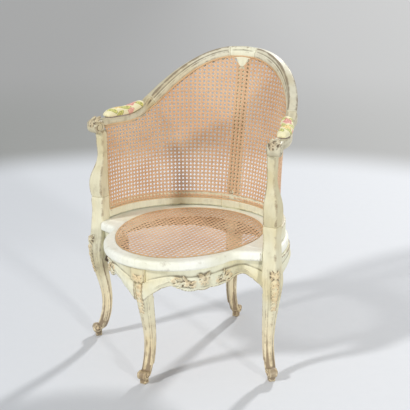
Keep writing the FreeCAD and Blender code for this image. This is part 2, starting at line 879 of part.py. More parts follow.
def tongue_places():
    """Centre and direction of the loose tongues between the seat frame's members."""
    z = mix(rail_top, seat_height, tongue_level)
    front = Vector(0, bow_centre_y - bow_radius + seat_frame_width / 2, z)
    cane_back = cane_back_y + cane_back_radius + cane_rebate
    back = Vector(0, mix(cane_back, stile_front, 0.5), z)
    notch_inner = stump_faces(rail_top)[0] - notch_gap
    side = Vector(mix(cane_back_radius + cane_rebate, notch_inner, 0.5), side_leg_y, z)
    return [(front, RIGHT), (back, RIGHT), (side, BACK), (flipped(side), BACK)]


def tongue(place, direction, grow):
    length, width, tall = tongue_length + 2 * grow, tongue_width + 2 * grow, tongue_thickness + 2 * grow
    box = Part.makeBox(length, width, tall, Vector(-length / 2, -width / 2, -tall / 2))
    return placed(box, place, direction, UP.cross(direction))


# Assembly

def build():
    """All pieces by name, with their joints cut."""
    nodes = {}
    dowels = [rod(dowel_radius, dowel_length, *place) for place in dowel_places()]
    dowel_holes = [rod(dowel_radius + fit_gap / 2, dowel_length + 2 * fit_gap, *place)
                   for place in dowel_places()]
    seat_dowels = [rod(dowel_radius, seat_dowel_length, place, UP) for place in seat_dowel_places()]
    seat_holes = [rod(dowel_radius + fit_gap / 2, seat_dowel_length + 2 * fit_gap, place, UP)
                  for place in seat_dowel_places()]
    peg_reach = 2 * stump_side
    pegs = {name: peg(*place, peg_reach) for name, place in leg_pegs().items()}
    peg_holes = {name: peg_hole(*place, peg_reach) for name, place in leg_pegs().items()}

    # Plain bodies
    stump, front, back = side_leg(), front_leg(), back_leg()
    right_arm, stile = arm(), back_stile()
    bow_rail = front_rail().cut([stump, front])
    rear_rail = back_rail().cut([stump, back, bow_rail])

    # Pegs end flush with the leg that they are driven into
    pegs = {"front_leg": pegs["front_leg"].common(front), "side_leg": pegs["side_leg"].common(stump),
            "flank": pegs["flank"].common(stump), "back_leg": pegs["back_leg"].common(back)}

    # Legs with their mortises
    nodes["right_leg"] = stump.cut([side_tenon(fit_gap), flank_tenon(fit_gap), lower_tenon(fit_gap),
                                    post_foot_tenon(fit_gap), peg_holes["side_leg"], peg_holes["flank"]])
    nodes["front_leg"] = front.cut(both(front_tenon(fit_gap)) + both(peg_holes["front_leg"]))
    nodes["back_leg"] = back.cut(both(rear_tenon(fit_gap)) + both(peg_holes["back_leg"])
                                 + [stile_tenon(fit_gap)])

    # Rails with their tenons
    bow_rail = bow_rail.fuse([front_tenon(0), side_tenon(0)])
    nodes["front_right_rail"] = bow_rail.cut([peg_holes["front_leg"], peg_holes["side_leg"]] + seat_holes)
    rear_rail = rear_rail.fuse([rear_tenon(0), flank_tenon(0)])
    nodes["back_right_rail"] = rear_rail.cut([peg_holes["back_leg"], peg_holes["flank"]] + seat_holes)

    # Back frame and arms
    low_rail = lower_rail().cut(stump).fuse(lower_tenon(0))
    nodes["right_lower_rail"] = low_rail.cut(dowel_holes)
    nodes["right_top_rail"] = frame_piece(head_angle, arm_joint_angle, 11).cut(dowel_holes)
    post = arm_post().cut(right_arm)
    nodes["right_arm_post"] = post.fuse([post_foot_tenon(0), post_head_tenon(0)])
    nodes["right_arm"] = right_arm.cut([post_head_tenon(fit_gap)] + dowel_holes)
    nodes["back_stile"] = stile.cut(dowel_holes + [flipped(hole) for hole in dowel_holes])

    # Seat frame in four members, with its tongues and dowels
    ring = seat_ring().cut([tongue(*place, fit_gap) for place in tongue_places()]
                           + seat_holes + [flipped(hole) for hole in seat_holes])
    reach = 4 * plan_radius
    nodes["seat_frame_front_right"] = ring.common(
        Part.makeBox(reach, reach, reach, Vector(0, side_leg_y - reach, 0)))
    nodes["seat_frame_back_right"] = ring.common(Part.makeBox(reach, reach, reach, Vector(0, side_leg_y, 0)))

    # Cane and pads
    uprights = [stump, post]
    cane = back_cane().cut(uprights + [flipped(u) for u in uprights] + [stile_drop(2 * fit_gap)])
    nodes["right_arm_pad"] = arm_pad()

    for name in [n for n in nodes if "right" in n]:
        nodes[name.replace("right", "left")] = flipped(nodes[name])
    nodes["seat_cane"] = seat_cane()
    nodes["back_cane"] = cane
    nodes["leg_pegs"] = Part.makeCompound([s for p in pegs.values() for s in both(p)])
    nodes["back_dowels"] = Part.makeCompound([s for d in dowels for s in both(d)])
    nodes["seat_dowels"] = Part.makeCompound([s for d in seat_dowels for s in both(d)])
    nodes["seat_tongues"] = Part.makeCompound([tongue(*place, 0) for place in tongue_places()])
    return nodes


def export(nodes):
    """Write each piece with the origin on the floor under the middle of the chair."""
    box = Part.makeCompound(list(nodes.values())).optimalBoundingBox(False, False)
    shift = Vector(-box.Center.x, -box.Center.y, -box.ZMin)
    os.makedirs("parts", exist_ok=True)
    for name, shape in nodes.items():
        shape.translated(shift).exportStep(f"parts/{name}.step")
        print(name, "solids", len(shape.Solids), "valid", shape.isValid(), "volume", round(shape.Volume))
    print("box", box.XLength, box.YLength, box.ZLength, "shift", shift)


export(build())
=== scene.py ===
"""Dressed model of a caned desk armchair.

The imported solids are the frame. Painted pieces are remeshed copies of their solids with the carving
joined on, the cane is woven by a node tree, and the arm pads are inflated cloth with a braid.
Metres, +Z up, +Y towards the back.
"""

import logging
import math
from dataclasses import asdict, dataclass
from enum import Enum
from typing import Any, Callable, Iterable, Optional, Sequence

import bmesh
import bpy
import numpy as np
from bmesh.types import BMesh
from bpy.types import ID, Material, Mesh, Node, NodeSocket as Socket, NodeTree, Object
from mathutils import Matrix, Vector
from mathutils.bvhtree import BVHTree
from mathutils.kdtree import KDTree


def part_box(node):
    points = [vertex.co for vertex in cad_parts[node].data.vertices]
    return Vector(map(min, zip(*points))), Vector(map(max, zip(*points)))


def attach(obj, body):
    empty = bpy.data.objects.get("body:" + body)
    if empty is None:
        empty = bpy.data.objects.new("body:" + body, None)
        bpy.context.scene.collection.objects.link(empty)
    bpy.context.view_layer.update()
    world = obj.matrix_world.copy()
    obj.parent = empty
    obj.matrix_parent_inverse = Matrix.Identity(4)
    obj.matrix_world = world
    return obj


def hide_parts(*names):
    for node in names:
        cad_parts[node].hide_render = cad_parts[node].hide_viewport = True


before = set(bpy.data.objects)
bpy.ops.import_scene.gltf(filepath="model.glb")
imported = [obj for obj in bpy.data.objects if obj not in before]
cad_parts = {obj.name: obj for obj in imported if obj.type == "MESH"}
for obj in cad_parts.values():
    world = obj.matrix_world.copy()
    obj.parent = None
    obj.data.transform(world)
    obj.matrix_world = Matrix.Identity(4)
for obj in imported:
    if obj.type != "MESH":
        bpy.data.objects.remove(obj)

log = logging.getLogger("armchair")
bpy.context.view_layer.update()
Colour = tuple[float, float, float, float]
Triple = tuple[float, float, float]
Pair = tuple[float, float]
Rows = tuple[tuple[float, ...], ...]
Hit = Optional[tuple[Vector, Vector]]

# Plan of the chair in the part's frame
HORSESHOE_Y = -0.0545
LEG_X = 0.311
LEG_Y = -0.025 + HORSESHOE_Y
FRONT_LEG_Y = -0.227 + HORSESHOE_Y
BACK_LEG_Y = 0.314 + HORSESHOE_Y
MIDDLE = Vector((0, HORSESHOE_Y, 0))
UP = Vector((0, 0, 1))
MERGE = 1e-6

# Socket types of the node groups
COLOUR, NUMBER, VECTOR = "NodeSocketColor", "NodeSocketFloat", "NodeSocketVector"


def srgb(text: str) -> Colour:
    """Linear colour from a hex code.

    Args:
        text: six hex digits.

    Returns:
        Linear red, green, blue and alpha.
    """
    parts = [int(text[i:i + 2], 16) / 255 for i in (0, 2, 4)]
    linear = [c / 12.92 if c <= 0.04045 else ((c + 0.055) / 1.055) ** 2.4 for c in parts]
    return (linear[0], linear[1], linear[2], 1.0)


class Graph:
    """Short way to add and link nodes in a node tree."""

    def __init__(self, tree: NodeTree) -> None:
        """Keeps the tree."""
        self.tree = tree

    def node(self, kind: str, inputs: Optional[dict] = None, **settings: Any) -> Node:
        """Adds a node.

        Args:
            kind: the node's type name.
            inputs: values or sockets by input name or place.
            settings: properties of the node.

        Returns:
            The new node.
        """
        made = self.tree.nodes.new(kind)
        for name, value in settings.items():
            setattr(made, name, value)
        for key, value in (inputs or {}).items():
            if isinstance(value, Socket):
                self.link(value, made.inputs[key])
            else:
                made.inputs[key].default_value = value
        return made

    def get(self, kind: str, inputs: Optional[dict] = None, **settings: Any) -> Socket:
        """Adds a node and returns its first output."""
        return self.node(kind, inputs, **settings).outputs[0]

    def link(self, source: Socket, target: Socket) -> None:
        """Joins two sockets."""
        self.tree.links.new(source, target)

    def math(self, operation: str, *values: Any) -> Socket:
        """Adds a Math node and returns its result."""
        return self.get("ShaderNodeMath", dict(enumerate(values)), operation=operation)

    def times(self, first: Any, second: Any) -> Socket:
        """Product of two values."""
        return self.math("MULTIPLY", first, second)

    def plus(self, first: Any, second: Any) -> Socket:
        """Sum of two values."""
        return self.math("ADD", first, second)

    def less(self, first: Any, second: Any) -> Socket:
        """First value less the second."""
        return self.math("SUBTRACT", first, second)

    def axes(self, vector: Any) -> Sequence[Socket]:
        """The three values of a vector."""
        return self.node("ShaderNodeSeparateXYZ", {0: vector}).outputs

    def scale(self, vector: Any, factor: Any) -> Socket:
        """Vector times a value."""
        return self.get("ShaderNodeVectorMath", {0: vector, "Scale": factor}, operation="SCALE")

    def vector(self, operation: str, *values: Any) -> Socket:
        """Adds a Vector Math node and returns its vector."""
        return self.get("ShaderNodeVectorMath", dict(enumerate(values)), operation=operation)

    def ramp(self, value: Any, low: float, high: float, first: float = 0.0,
             last: float = 1.0) -> Socket:
        """Maps low..high smoothly to first..last."""
        return self.get("ShaderNodeMapRange", {0: value, 1: low, 2: high, 3: first, 4: last},
                        interpolation_type="SMOOTHSTEP")

    def mix(self, share: Any, first: Any, second: Any) -> Socket:
        """Adds a colour Mix and returns its colour."""
        return self.node("ShaderNodeMix", {0: share, 6: first, 7: second}, data_type="RGBA").outputs[2]

    def noise(self, vector: Any, scale: float, detail: float = 4.0, rough: float = 0.55,
              seed: float = 0.0) -> Socket:
        """Noise from 0 to 1, moved by a fixed seed."""
        moved = self.vector("ADD", vector, (seed, seed * 1.7, seed * 0.6))
        return self.get("ShaderNodeTexNoise", {"Vector": moved, "Scale": scale, "Detail": detail,
                                               "Roughness": rough})

    def place(self) -> Socket:
        """Place on the object, in metres."""
        return self.node("ShaderNodeTexCoord").outputs["Object"]

    def surface(self, shader: Node, colour: Any, height: Any, strength: float,
                distance: float) -> None:
        """Feeds a shader's colour, and its normal through a Bump node.

        Args:
            shader: the Principled shader.
            colour: its base colour.
            height: the relief.
            strength: share of the relief that shows.
            distance: how high the relief is, in metres.
        """
        bump = self.get("ShaderNodeBump", {"Strength": strength, "Distance": distance, "Height": height})
        self.link(colour, shader.inputs["Base Color"])
        self.link(bump, shader.inputs["Normal"])


Sockets = dict[str, tuple[str, ...]]


def group_graph(name: str, inputs: Sockets, outputs: Sockets) -> tuple[Graph, Any, Any]:
    """Starts a shader node group.

    Args:
        name: the group's name.
        inputs: input names by socket type.
        outputs: output names by socket type.

    Returns:
        The graph, the input sockets by name, and the sockets to be put out by name.
    """
    tree = bpy.data.node_groups.new(name, "ShaderNodeTree")
    for way, sockets in (("INPUT", inputs), ("OUTPUT", outputs)):
        for kind, labels in sockets.items():
            for label in labels:
                tree.interface.new_socket(label, in_out=way, socket_type=kind)
    graph = Graph(tree)
    return graph, graph.node("NodeGroupInput").outputs, graph.node("NodeGroupOutput").inputs


def worn_paint_group() -> NodeTree:
    """Old paint: tinted patches, brushed streaks, edges worn to wood, hollows darkened as part dirt and
    part painted shade, and painted shade in broad hollows.

    Returns:
        The shader node group.
    """
    graph, given, out = group_graph(
        "Worn paint",
        {VECTOR: ("Vector",), NUMBER: ("Edge", "Broad", "Carving", "Bare", "Wear", "Soot"),
         COLOUR: ("Paint", "Tint", "Shade", "Wood", "Grime_and_shade", "Gilt")},
        {COLOUR: ("Color",), NUMBER: ("Roughness", "Height")})
    where, carving, edge = given["Vector"], given["Carving"], given["Edge"]
    patches = graph.ramp(graph.noise(where, 7.0, 3.0, 0.5, 1.3), 0.42, 0.68)
    streaks = graph.noise(graph.vector("MULTIPLY", where, (1.0, 1.0, 0.16)), 95.0, 5.0, 0.6, 4.1)
    smears = graph.ramp(graph.noise(where, 24.0, 6.0, 0.65, 8.2), 0.52, 0.78)
    chips = graph.noise(where, 150.0, 6.0, 0.7, 2.7)
    coarse = graph.noise(where, 38.0, 4.0, 0.6, 6.4)
    body = graph.mix(patches, given["Paint"], given["Tint"])
    body = graph.mix(graph.times(smears, 0.5), body, given["Shade"])
    body = graph.mix(graph.ramp(streaks, 0.35, 0.75, 0.0, 0.2), body, given["Shade"])
    # Painted shade: broad hollows are darkened towards the Shade colour, standing in for the shade that
    # falls in them.
    broad_hollow_shade = graph.ramp(graph.times(given["Broad"], -1.0), 0.05, 0.8, 0.0, 0.6)
    body = graph.mix(broad_hollow_shade, body, given["Shade"])
    gilt = graph.times(carving, graph.ramp(coarse, 0.34, 0.6))
    body = graph.mix(graph.times(gilt, 0.8), body, given["Gilt"])
    ragged = graph.plus(graph.times(graph.less(chips, 0.5), 0.5),
                        graph.times(graph.less(coarse, 0.5), 1.2))
    raised = graph.plus(graph.times(edge, given["Wear"]), ragged)
    height_up = graph.axes(where)[2]
    feet = graph.ramp(height_up, 0.16, 0.015)
    body = graph.mix(graph.ramp(height_up, 0.28, 0.06, 0.0, 0.4), body, given["Gilt"])
    plain = graph.less(1.0, carving)
    soot = graph.plus(given["Soot"], graph.times(graph.times(feet, plain), 0.85))
    # Narrow hollows, and the sooted feet, go towards the dark colour: part real dirt, part painted shade
    # in the hollows.
    sunk = graph.plus(graph.times(edge, -2.2),
                      graph.times(graph.less(coarse, 0.5), 0.8))
    sunk = graph.plus(sunk, soot)
    worn = graph.ramp(raised, 0.24, 0.74)
    hollow = graph.ramp(sunk, 0.1, 0.7)
    spared = graph.ramp(carving, 0.0, 1.0, 1.0, 0.45)
    body = graph.mix(graph.times(graph.times(worn, 0.8), spared), body, given["Wood"])
    depth = graph.ramp(carving, 0.0, 1.0, 0.72, 0.92)
    body = graph.mix(graph.times(hollow, depth), body, given["Grime_and_shade"])
    body = graph.mix(given["Bare"], body, given["Grime_and_shade"])
    rough = graph.plus(graph.times(worn, 0.2), graph.ramp(streaks, 0.3, 0.8, 0.46, 0.58))
    height = graph.less(graph.times(streaks, 0.25), graph.times(worn, 0.5))
    for label, socket in (("Color", body), ("Roughness", rough), ("Height", height)):
        graph.link(socket, out[label])
    return graph.tree


def fibre_group() -> NodeTree:
    """Long fibres: streaks along an axis that lighten and darken a cane or wood colour.

    Returns:
        The shader node group.
    """
    graph, given, out = group_graph(
        "Fibres", {VECTOR: ("Vector",), COLOUR: ("Light", "Middle", "Dark")},
        {COLOUR: ("Color",), NUMBER: ("Height",)})
    broad = graph.noise(given["Vector"], 5.0, 3.0, 0.5, 3.3)
    fine = graph.noise(given["Vector"], 210.0, 3.0, 0.6, 5.9)
    body = graph.mix(graph.ramp(broad, 0.35, 0.7), given["Middle"], given["Light"])
    body = graph.mix(graph.ramp(fine, 0.5, 0.85, 0.0, 0.6), body, given["Dark"])
    graph.link(body, out["Color"])
    graph.link(fine, out["Height"])
    return graph.tree


def thread_group() -> NodeTree:
    """Plain woven threads: a fine cross-hatch height and a slight mottle.

    Returns:
        The shader node group.
    """
    graph, given, out = group_graph("Threads", {VECTOR: ("Vector",), NUMBER: ("Count",)},
                                    {NUMBER: ("Height", "Mottle")})
    axes = graph.axes(graph.scale(given["Vector"], given["Count"]))
    warp = graph.math("SINE", axes[0])
    weft = graph.math("SINE", axes[1])
    graph.link(graph.times(warp, weft), out["Height"])
    graph.link(graph.noise(given["Vector"], 60.0, 4.0, 0.6, 7.7), out["Mottle"])
    return graph.tree


def petal_group() -> NodeTree:
    """One printed motif on a flat pattern: a lobed disc with curled rings, and its mask.

    Returns:
        The shader node group.
    """
    graph, given, out = group_graph(
        "Printed motif",
        {VECTOR: ("Vector", "Centre"), NUMBER: ("Radius", "Lobes", "Depth", "Stretch", "Turn")},
        {NUMBER: ("Mask", "Rings")})
    offset = graph.vector("SUBTRACT", given["Vector"], given["Centre"])
    turned = graph.get("ShaderNodeVectorRotate", {"Vector": offset, "Angle": given["Turn"]},
                       rotation_type="Z_AXIS")
    axes = graph.axes(turned)
    across = graph.times(axes[1], given["Stretch"])
    wobble = graph.times(graph.less(graph.noise(given["Vector"], 90.0, 2.0), 0.5), 0.004)
    far = graph.math("SQRT", graph.plus(graph.times(axes[0], axes[0]), graph.times(across, across)))
    angle = graph.math("ARCTAN2", across, axes[0])
    lobe = graph.math("COSINE", graph.times(angle, given["Lobes"]))
    edge = graph.times(given["Radius"], graph.plus(1.0, graph.times(lobe, given["Depth"])))
    inside = graph.math("DIVIDE", graph.plus(far, wobble), edge)
    graph.link(graph.ramp(inside, 1.06, 0.9), out["Mask"])
    curl = graph.plus(graph.times(inside, 11.0), graph.times(angle, 2.0))
    graph.link(graph.ramp(graph.math("SINE", curl), -0.6, 0.9), out["Rings"])
    return graph.tree


class Effects:
    """Shader node groups that several finishes share."""

    worn_paint = worn_paint_group()
    fibres = fibre_group()
    threads = thread_group()
    petals = petal_group()


def start_material(name: str) -> tuple[Material, Graph, Node]:
    """Starts a node material.

    Args:
        name: the material's name.

    Returns:
        The material, its graph and its Principled shader.
    """
    material = bpy.data.materials.new(name)
    material.use_nodes = True
    graph = Graph(material.node_tree)
    return material, graph, material.node_tree.nodes["Principled BSDF"]


@dataclass(frozen=True)
class PaintFinish:
    """Old cream paint with a green cast over carved wood."""

    name: str
    paint: str = "EAE8CF"
    tint: str = "E0D6AF"
    shade: str = "AFAA8E"
    wood: str = "8E7A5F"
    # Dark colour of dirt, and of the painted shade in narrow hollows.
    grime_and_shade: str = "65543F"
    gilt: str = "DFBE8C"
    wear: float = 1.5
    soot: float = 0.0
    specular: float = 0.35
    bump: Pair = (0.25, 0.0006)

    def material(self) -> Material:
        """Builds the material.

        Returns:
            The material.
        """
        material, graph, shader = start_material(self.name)
        effect = graph.node("ShaderNodeGroup", {"Vector": graph.place()}, node_tree=Effects.worn_paint)
        for label in ("Edge", "Broad", "Carving", "Bare"):
            stored = graph.node("ShaderNodeAttribute", attribute_name=label.lower()).outputs["Fac"]
            graph.link(stored, effect.inputs[label])
        for label in ("Paint", "Tint", "Shade", "Wood", "Grime_and_shade", "Gilt"):
            effect.inputs[label].default_value = srgb(getattr(self, label.lower()))
        effect.inputs["Wear"].default_value = self.wear
        effect.inputs["Soot"].default_value = self.soot
        graph.surface(shader, effect.outputs["Color"], effect.outputs["Height"], *self.bump)
        graph.link(effect.outputs["Roughness"], shader.inputs["Roughness"])
        shader.inputs["Specular IOR Level"].default_value = self.specular
        return material


@dataclass(frozen=True)
class FibreFinish:
    """Split cane or bare wood, with its fibres stretched along an axis."""

    name: str
    light: str
    middle: str
    dark: str
    stretch: Triple
    rough: float = 0.5
    bump: Pair = (0.2, 0.0004)

    def material(self) -> Material:
        """Builds the material.

        Returns:
            The material.
        """
        material, graph, shader = start_material(self.name)
        along = graph.vector("MULTIPLY", graph.place(), self.stretch)
        effect = graph.node("ShaderNodeGroup", {"Vector": along}, node_tree=Effects.fibres)
        for label in ("Light", "Middle", "Dark"):
            effect.inputs[label].default_value = srgb(getattr(self, label.lower()))
        graph.surface(shader, effect.outputs["Color"], effect.outputs["Height"], *self.bump)
        shader.inputs["Roughness"].default_value = self.rough
        return material


@dataclass(frozen=True)
class Motif:
    """One motif of the printed cover, placed on the cover's flat pattern in metres."""

    along: float
    across: float
    radius: float
    lobes: float
    depth: float
    stretch: float
    turn: float
    pale: str
    deep: str


@dataclass(frozen=True)
class PrintFinish:
    """Cream cotton cover with a plain printed spray of a flower and leaves."""

    name: str
    ground: str = "F0E8BC"
    faded: str = "DDD5B8"
    threads: float = 5200.0
    ink: float = 0.85
    rough: float = 0.85
    sheen: float = 0.15
    bump: Pair = (0.3, 0.0004)
    motifs: tuple[Motif, ...] = (
        Motif(-0.046, 0.016, 0.021, 2.0, 0.15, 2.0, 0.6, "E3DC7C", "98A044"),
        Motif(-0.052, -0.014, 0.019, 2.0, 0.15, 2.0, -0.7, "E0D673", "93993F"),
        Motif(-0.028, 0.002, 0.018, 5.0, 0.16, 1.0, 0.3, "EBA79C", "CB6F6B"),
        Motif(-0.004, 0.020, 0.022, 2.0, 0.1, 2.1, 0.9, "E6DF80", "A0A748"),
        Motif(0.004, -0.012, 0.023, 2.0, 0.1, 2.0, -0.4, "DED570", "8F973C"),
        Motif(0.028, 0.005, 0.017, 6.0, 0.2, 1.0, 0.0, "F3DC84", "D5A445"),
        Motif(0.044, 0.022, 0.020, 2.0, 0.12, 2.1, 1.3, "E5DE80", "989F45"),
        Motif(0.054, -0.012, 0.020, 2.0, 0.12, 2.0, -1.0, "E1D977", "949B41"),
        Motif(0.018, 0.036, 0.012, 5.0, 0.2, 1.0, 0.5, "EDB0A0", "CF7C73"),
        Motif(-0.016, -0.034, 0.012, 5.0, 0.2, 1.0, 0.9, "EDB7A4", "D28478"),
        Motif(-0.020, 0.040, 0.016, 2.0, 0.12, 2.0, 0.2, "E3DC7C", "98A044"),
        Motif(0.030, -0.034, 0.016, 2.0, 0.12, 2.0, 0.4, "E0D673", "93993F"))

    def material(self) -> Material:
        """Builds the material on the piece's own UV map.

        Returns:
            The material.
        """
        material, graph, shader = start_material(self.name)
        flat = graph.get("ShaderNodeUVMap", uv_map="cover")
        threads = graph.node("ShaderNodeGroup", {"Vector": flat, "Count": self.threads},
                             node_tree=Effects.threads)
        body = graph.mix(graph.ramp(threads.outputs["Mottle"], 0.3, 0.75, 0.0, 0.3), srgb(self.ground),
                         srgb(self.faded))
        for motif in self.motifs:
            stamp = graph.node("ShaderNodeGroup", {
                "Vector": flat, "Centre": (motif.along, motif.across, 0.0), "Radius": motif.radius,
                "Lobes": motif.lobes, "Depth": motif.depth, "Stretch": motif.stretch, "Turn": motif.turn},
                node_tree=Effects.petals)
            ink = graph.mix(stamp.outputs["Rings"], srgb(motif.deep), srgb(motif.pale))
            body = graph.mix(graph.times(stamp.outputs["Mask"], self.ink), body, ink)
        graph.surface(shader, body, threads.outputs["Height"], *self.bump)
        shader.inputs["Roughness"].default_value = self.rough
        shader.inputs["Sheen Weight"].default_value = self.sheen
        return material


@dataclass(frozen=True)
class BraidFinish:
    """Mauve-taupe silk braid."""

    name: str = "braid"
    light: str = "B7A79F"
    dark: str = "8F7C78"
    threads: float = 4200.0
    rough: float = 0.7
    bump: Pair = (0.4, 0.0004)

    def material(self) -> Material:
        """Builds the material.

        Returns:
            The material.
        """
        material, graph, shader = start_material(self.name)
        threads = graph.node("ShaderNodeGroup", {"Vector": graph.place(), "Count": self.threads},
                             node_tree=Effects.threads)
        body = graph.mix(graph.ramp(threads.outputs["Mottle"], 0.35, 0.7), srgb(self.dark),
                         srgb(self.light))
        graph.surface(shader, body, threads.outputs["Height"], *self.bump)
        shader.inputs["Roughness"].default_value = self.rough
        return material


class Slot(Enum):
    """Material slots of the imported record."""

    PAINT = "painted_wood"
    CANE = "cane"
    COVER = "flowered_fabric"


def add_object(name: str, data: ID) -> Object:
    """Puts a mesh, lamp or camera in the scene as an object at the origin.

    Args:
        name: the object's name.
        data: what it holds.

    Returns:
        The new object.
    """
    made = bpy.data.objects.new(name, data)
    bpy.context.scene.collection.objects.link(made)
    return made


def baked(source: Object) -> Mesh:
    """Plain mesh of an object with its modifiers applied.

    Args:
        source: the object to evaluate; it and its own mesh are removed.

    Returns:
        A new mesh.
    """
    graph = bpy.context.evaluated_depsgraph_get()
    mesh = bpy.data.meshes.new_from_object(source.evaluated_get(graph))
    bpy.data.objects.remove(source)
    return mesh


def finish_piece(piece: Object, material: Material, slot: Slot,
                 *nodes: str) -> Object:
    """Gives a piece its material and body, and hides the solids that it stands for.

    Args:
        piece: the new object.
        material: its finish.
        slot: the record's material slot; not used.
        nodes: solids that it replaces.

    Returns:
        The same object.
    """
    piece.data.materials.clear()
    piece.data.materials.append(material)
    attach(piece, "root")
    if nodes:
        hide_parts(*nodes)
    log.info("%s: %d faces", piece.name, len(piece.data.polygons))
    return piece


def mirrored(mesh: Mesh, name: str) -> Mesh:
    """Copy of a right-hand mesh for the left side, with its faces pointing outwards.

    Args:
        mesh: the right-hand mesh.
        name: the copy's name.

    Returns:
        The copy.
    """
    copy = mesh.copy()
    copy.name = name
    copy.transform(Matrix.Scale(-1, 4, Vector((1, 0, 0))))
    copy.flip_normals()
    return copy


def mesh_points(mesh: Mesh, what: str = "co") -> np.ndarray:
    """Vertex positions, or normals, as an array of rows.

    Args:
        mesh: the mesh.
        what: the property that is read.

    Returns:
        One row for each vertex.
    """
    points = np.empty(len(mesh.vertices) * 3, np.float32)
    mesh.vertices.foreach_get(what, points)
    return points.reshape(-1, 3).astype(float)


def mesh_of(form: BMesh, name: str) -> Mesh:
    """New mesh of a bmesh, which is freed.

    Args:
        form: the bmesh.
        name: the mesh's name.

    Returns:
        The mesh.
    """
    mesh = bpy.data.meshes.new(name)
    form.to_mesh(mesh)
    form.free()
    return mesh


def solid(node: str) -> Mesh:
    """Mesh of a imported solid."""
    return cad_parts[node].data


def solid_form(node: str) -> BMesh:
    """Copy of a solid's faces with their corners merged.

    Args:
        node: the solid's name.

    Returns:
        The bmesh.
    """
    form = bmesh.new()
    form.from_mesh(solid(node))
    bmesh.ops.remove_doubles(form, verts=form.verts, dist=MERGE)
    return form


def modify(piece: Object, kind: str, **settings: Any) -> None:
    """Adds a modifier to a piece.

    Args:
        piece: the object.
        kind: the modifier's type.
        settings: properties of the modifier.
    """
    made = piece.modifiers.new(kind.lower(), kind)
    for name, value in settings.items():
        setattr(made, name, value)


def spread(count: int, first: float = 0.0, last: float = 1.0) -> list[float]:
    """Even steps from the first value to the last."""
    return [first + (last - first) * i / (count - 1) for i in range(count)]


def polar(points: np.ndarray) -> tuple[np.ndarray, np.ndarray]:
    """Angles of points from the back, and their distances, about the horseshoe's axis."""
    x, y = points[:, 0], points[:, 1] - HORSESHOE_Y
    return np.arctan2(x, y), np.hypot(x, y)


def heading(azimuth: float, elevation: float) -> Vector:
    """Direction from the chair, in degrees from its front towards its right, and up."""
    turn, rise = math.radians(azimuth), math.radians(elevation)
    return Vector((math.sin(turn) * math.cos(rise), -math.cos(turn) * math.cos(rise), math.sin(rise)))


@dataclass
class Relief:
    """Attributes of a painted mesh: how far points stand out, where carving and bare wood are."""

    narrow_steps: int = 6
    broad_steps: int = 36
    carving_reach: float = 0.003
    joint_reach: float = 0.006
    bare_facing: float = 0.4
    bare_fade: float = 0.25

    def __post_init__(self) -> None:
        """Finds the painted solids and prepares a place for their surfaces."""
        plain = ("_cane", "_pad", "_pegs", "_dowels", "_tongues")
        self.painted = [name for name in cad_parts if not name.endswith(plain)]
        self.surfaces: dict[str, Surface] = {}

    def joint_gap(self, node: str, points: np.ndarray) -> np.ndarray:
        """Distance from each point to the nearest other painted solid, up to the joint's reach.

        Args:
            node: the solid that the points belong to.
            points: places on its surface.

        Returns:
            One distance for each point.
        """
        gap = np.full(len(points), self.joint_reach)
        for other in self.painted:
            if other == node:
                continue
            low, high = (np.array(corner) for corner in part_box(other))
            near = ((points > low - self.joint_reach) & (points < high + self.joint_reach)).all(1)
            if not near.any():
                continue
            if other not in self.surfaces:
                self.surfaces[other] = Surface(solid(other))
            tree = self.surfaces[other].tree
            for i in np.flatnonzero(near):
                distance = tree.find_nearest(points[i], self.joint_reach)[3]
                if distance is not None:
                    gap[i] = min(gap[i], distance)
        return gap

    def standing_out(self, mesh: Mesh, points: np.ndarray) -> tuple[np.ndarray, np.ndarray]:
        """How far each point stands out of its near and its wider surroundings.

        Args:
            mesh: a remeshed piece.
            points: its vertices.

        Returns:
            The two sets of values, in edge lengths.
        """
        normals = mesh_points(mesh, "normal")
        ends = np.empty(len(mesh.edges) * 2, np.int32)
        mesh.edges.foreach_get("vertices", ends)
        first, second = ends.reshape(-1, 2).T
        total = len(points)
        count = np.maximum(np.bincount(ends, minlength=total), 1)

        def around(values: np.ndarray) -> np.ndarray:
            """Mean of the neighbours' values."""
            return (np.bincount(first, values[second], total)
                    + np.bincount(second, values[first], total)) / count

        spacing = np.linalg.norm(points[first] - points[second], axis=1).mean()
        found = []
        wide = [points[:, i] for i in range(3)]
        done = 0
        for steps in (self.narrow_steps, self.broad_steps):
            for _ in range(steps - done):
                wide = [around(values) for values in wide]
            done = steps
            out = ((points - np.stack(wide, 1)) * normals).sum(1) / spacing
            found.append(np.clip(around(around(out)), -1, 1))
        return found[0], found[1]

    def store(self, mesh: Mesh, node: str, carving: Optional[np.ndarray], bare: bool) -> None:
        """Stores the attributes that the paint reads.

        Args:
            mesh: a remeshed piece.
            node: its solid.
            carving: points of the carving, or None.
            bare: whether its faces towards the middle of the chair were never painted.
        """
        points = mesh_points(mesh)
        edge, broad = self.standing_out(mesh, points)
        faded = np.clip(self.joint_gap(node, points) / self.joint_reach, 0, 1) ** 2
        share = np.zeros(len(points))
        if carving is not None and len(carving):
            tree = KDTree(len(carving))
            for i, place in enumerate(carving):
                tree.insert(place, i)
            tree.balance()
            share[:] = [max(0.0, 1 - tree.find(place)[2] / self.carving_reach) for place in points]
        inner = np.zeros(len(points))
        if bare:
            inward = np.stack([-points[:, 0], HORSESHOE_Y - points[:, 1]], 1)
            inward /= np.linalg.norm(inward, axis=1, keepdims=True)
            facing = (mesh_points(mesh, "normal")[:, :2] * inward).sum(1)
            inner = np.clip((facing - self.bare_facing) / self.bare_fade, 0, 1)
        for name, values in (("edge", edge * faded), ("broad", broad * faded), ("carving", share),
                             ("bare", inner)):
            layer = mesh.attributes.new(name, "FLOAT", "POINT")
            layer.data.foreach_set("value", values.astype(np.float32))


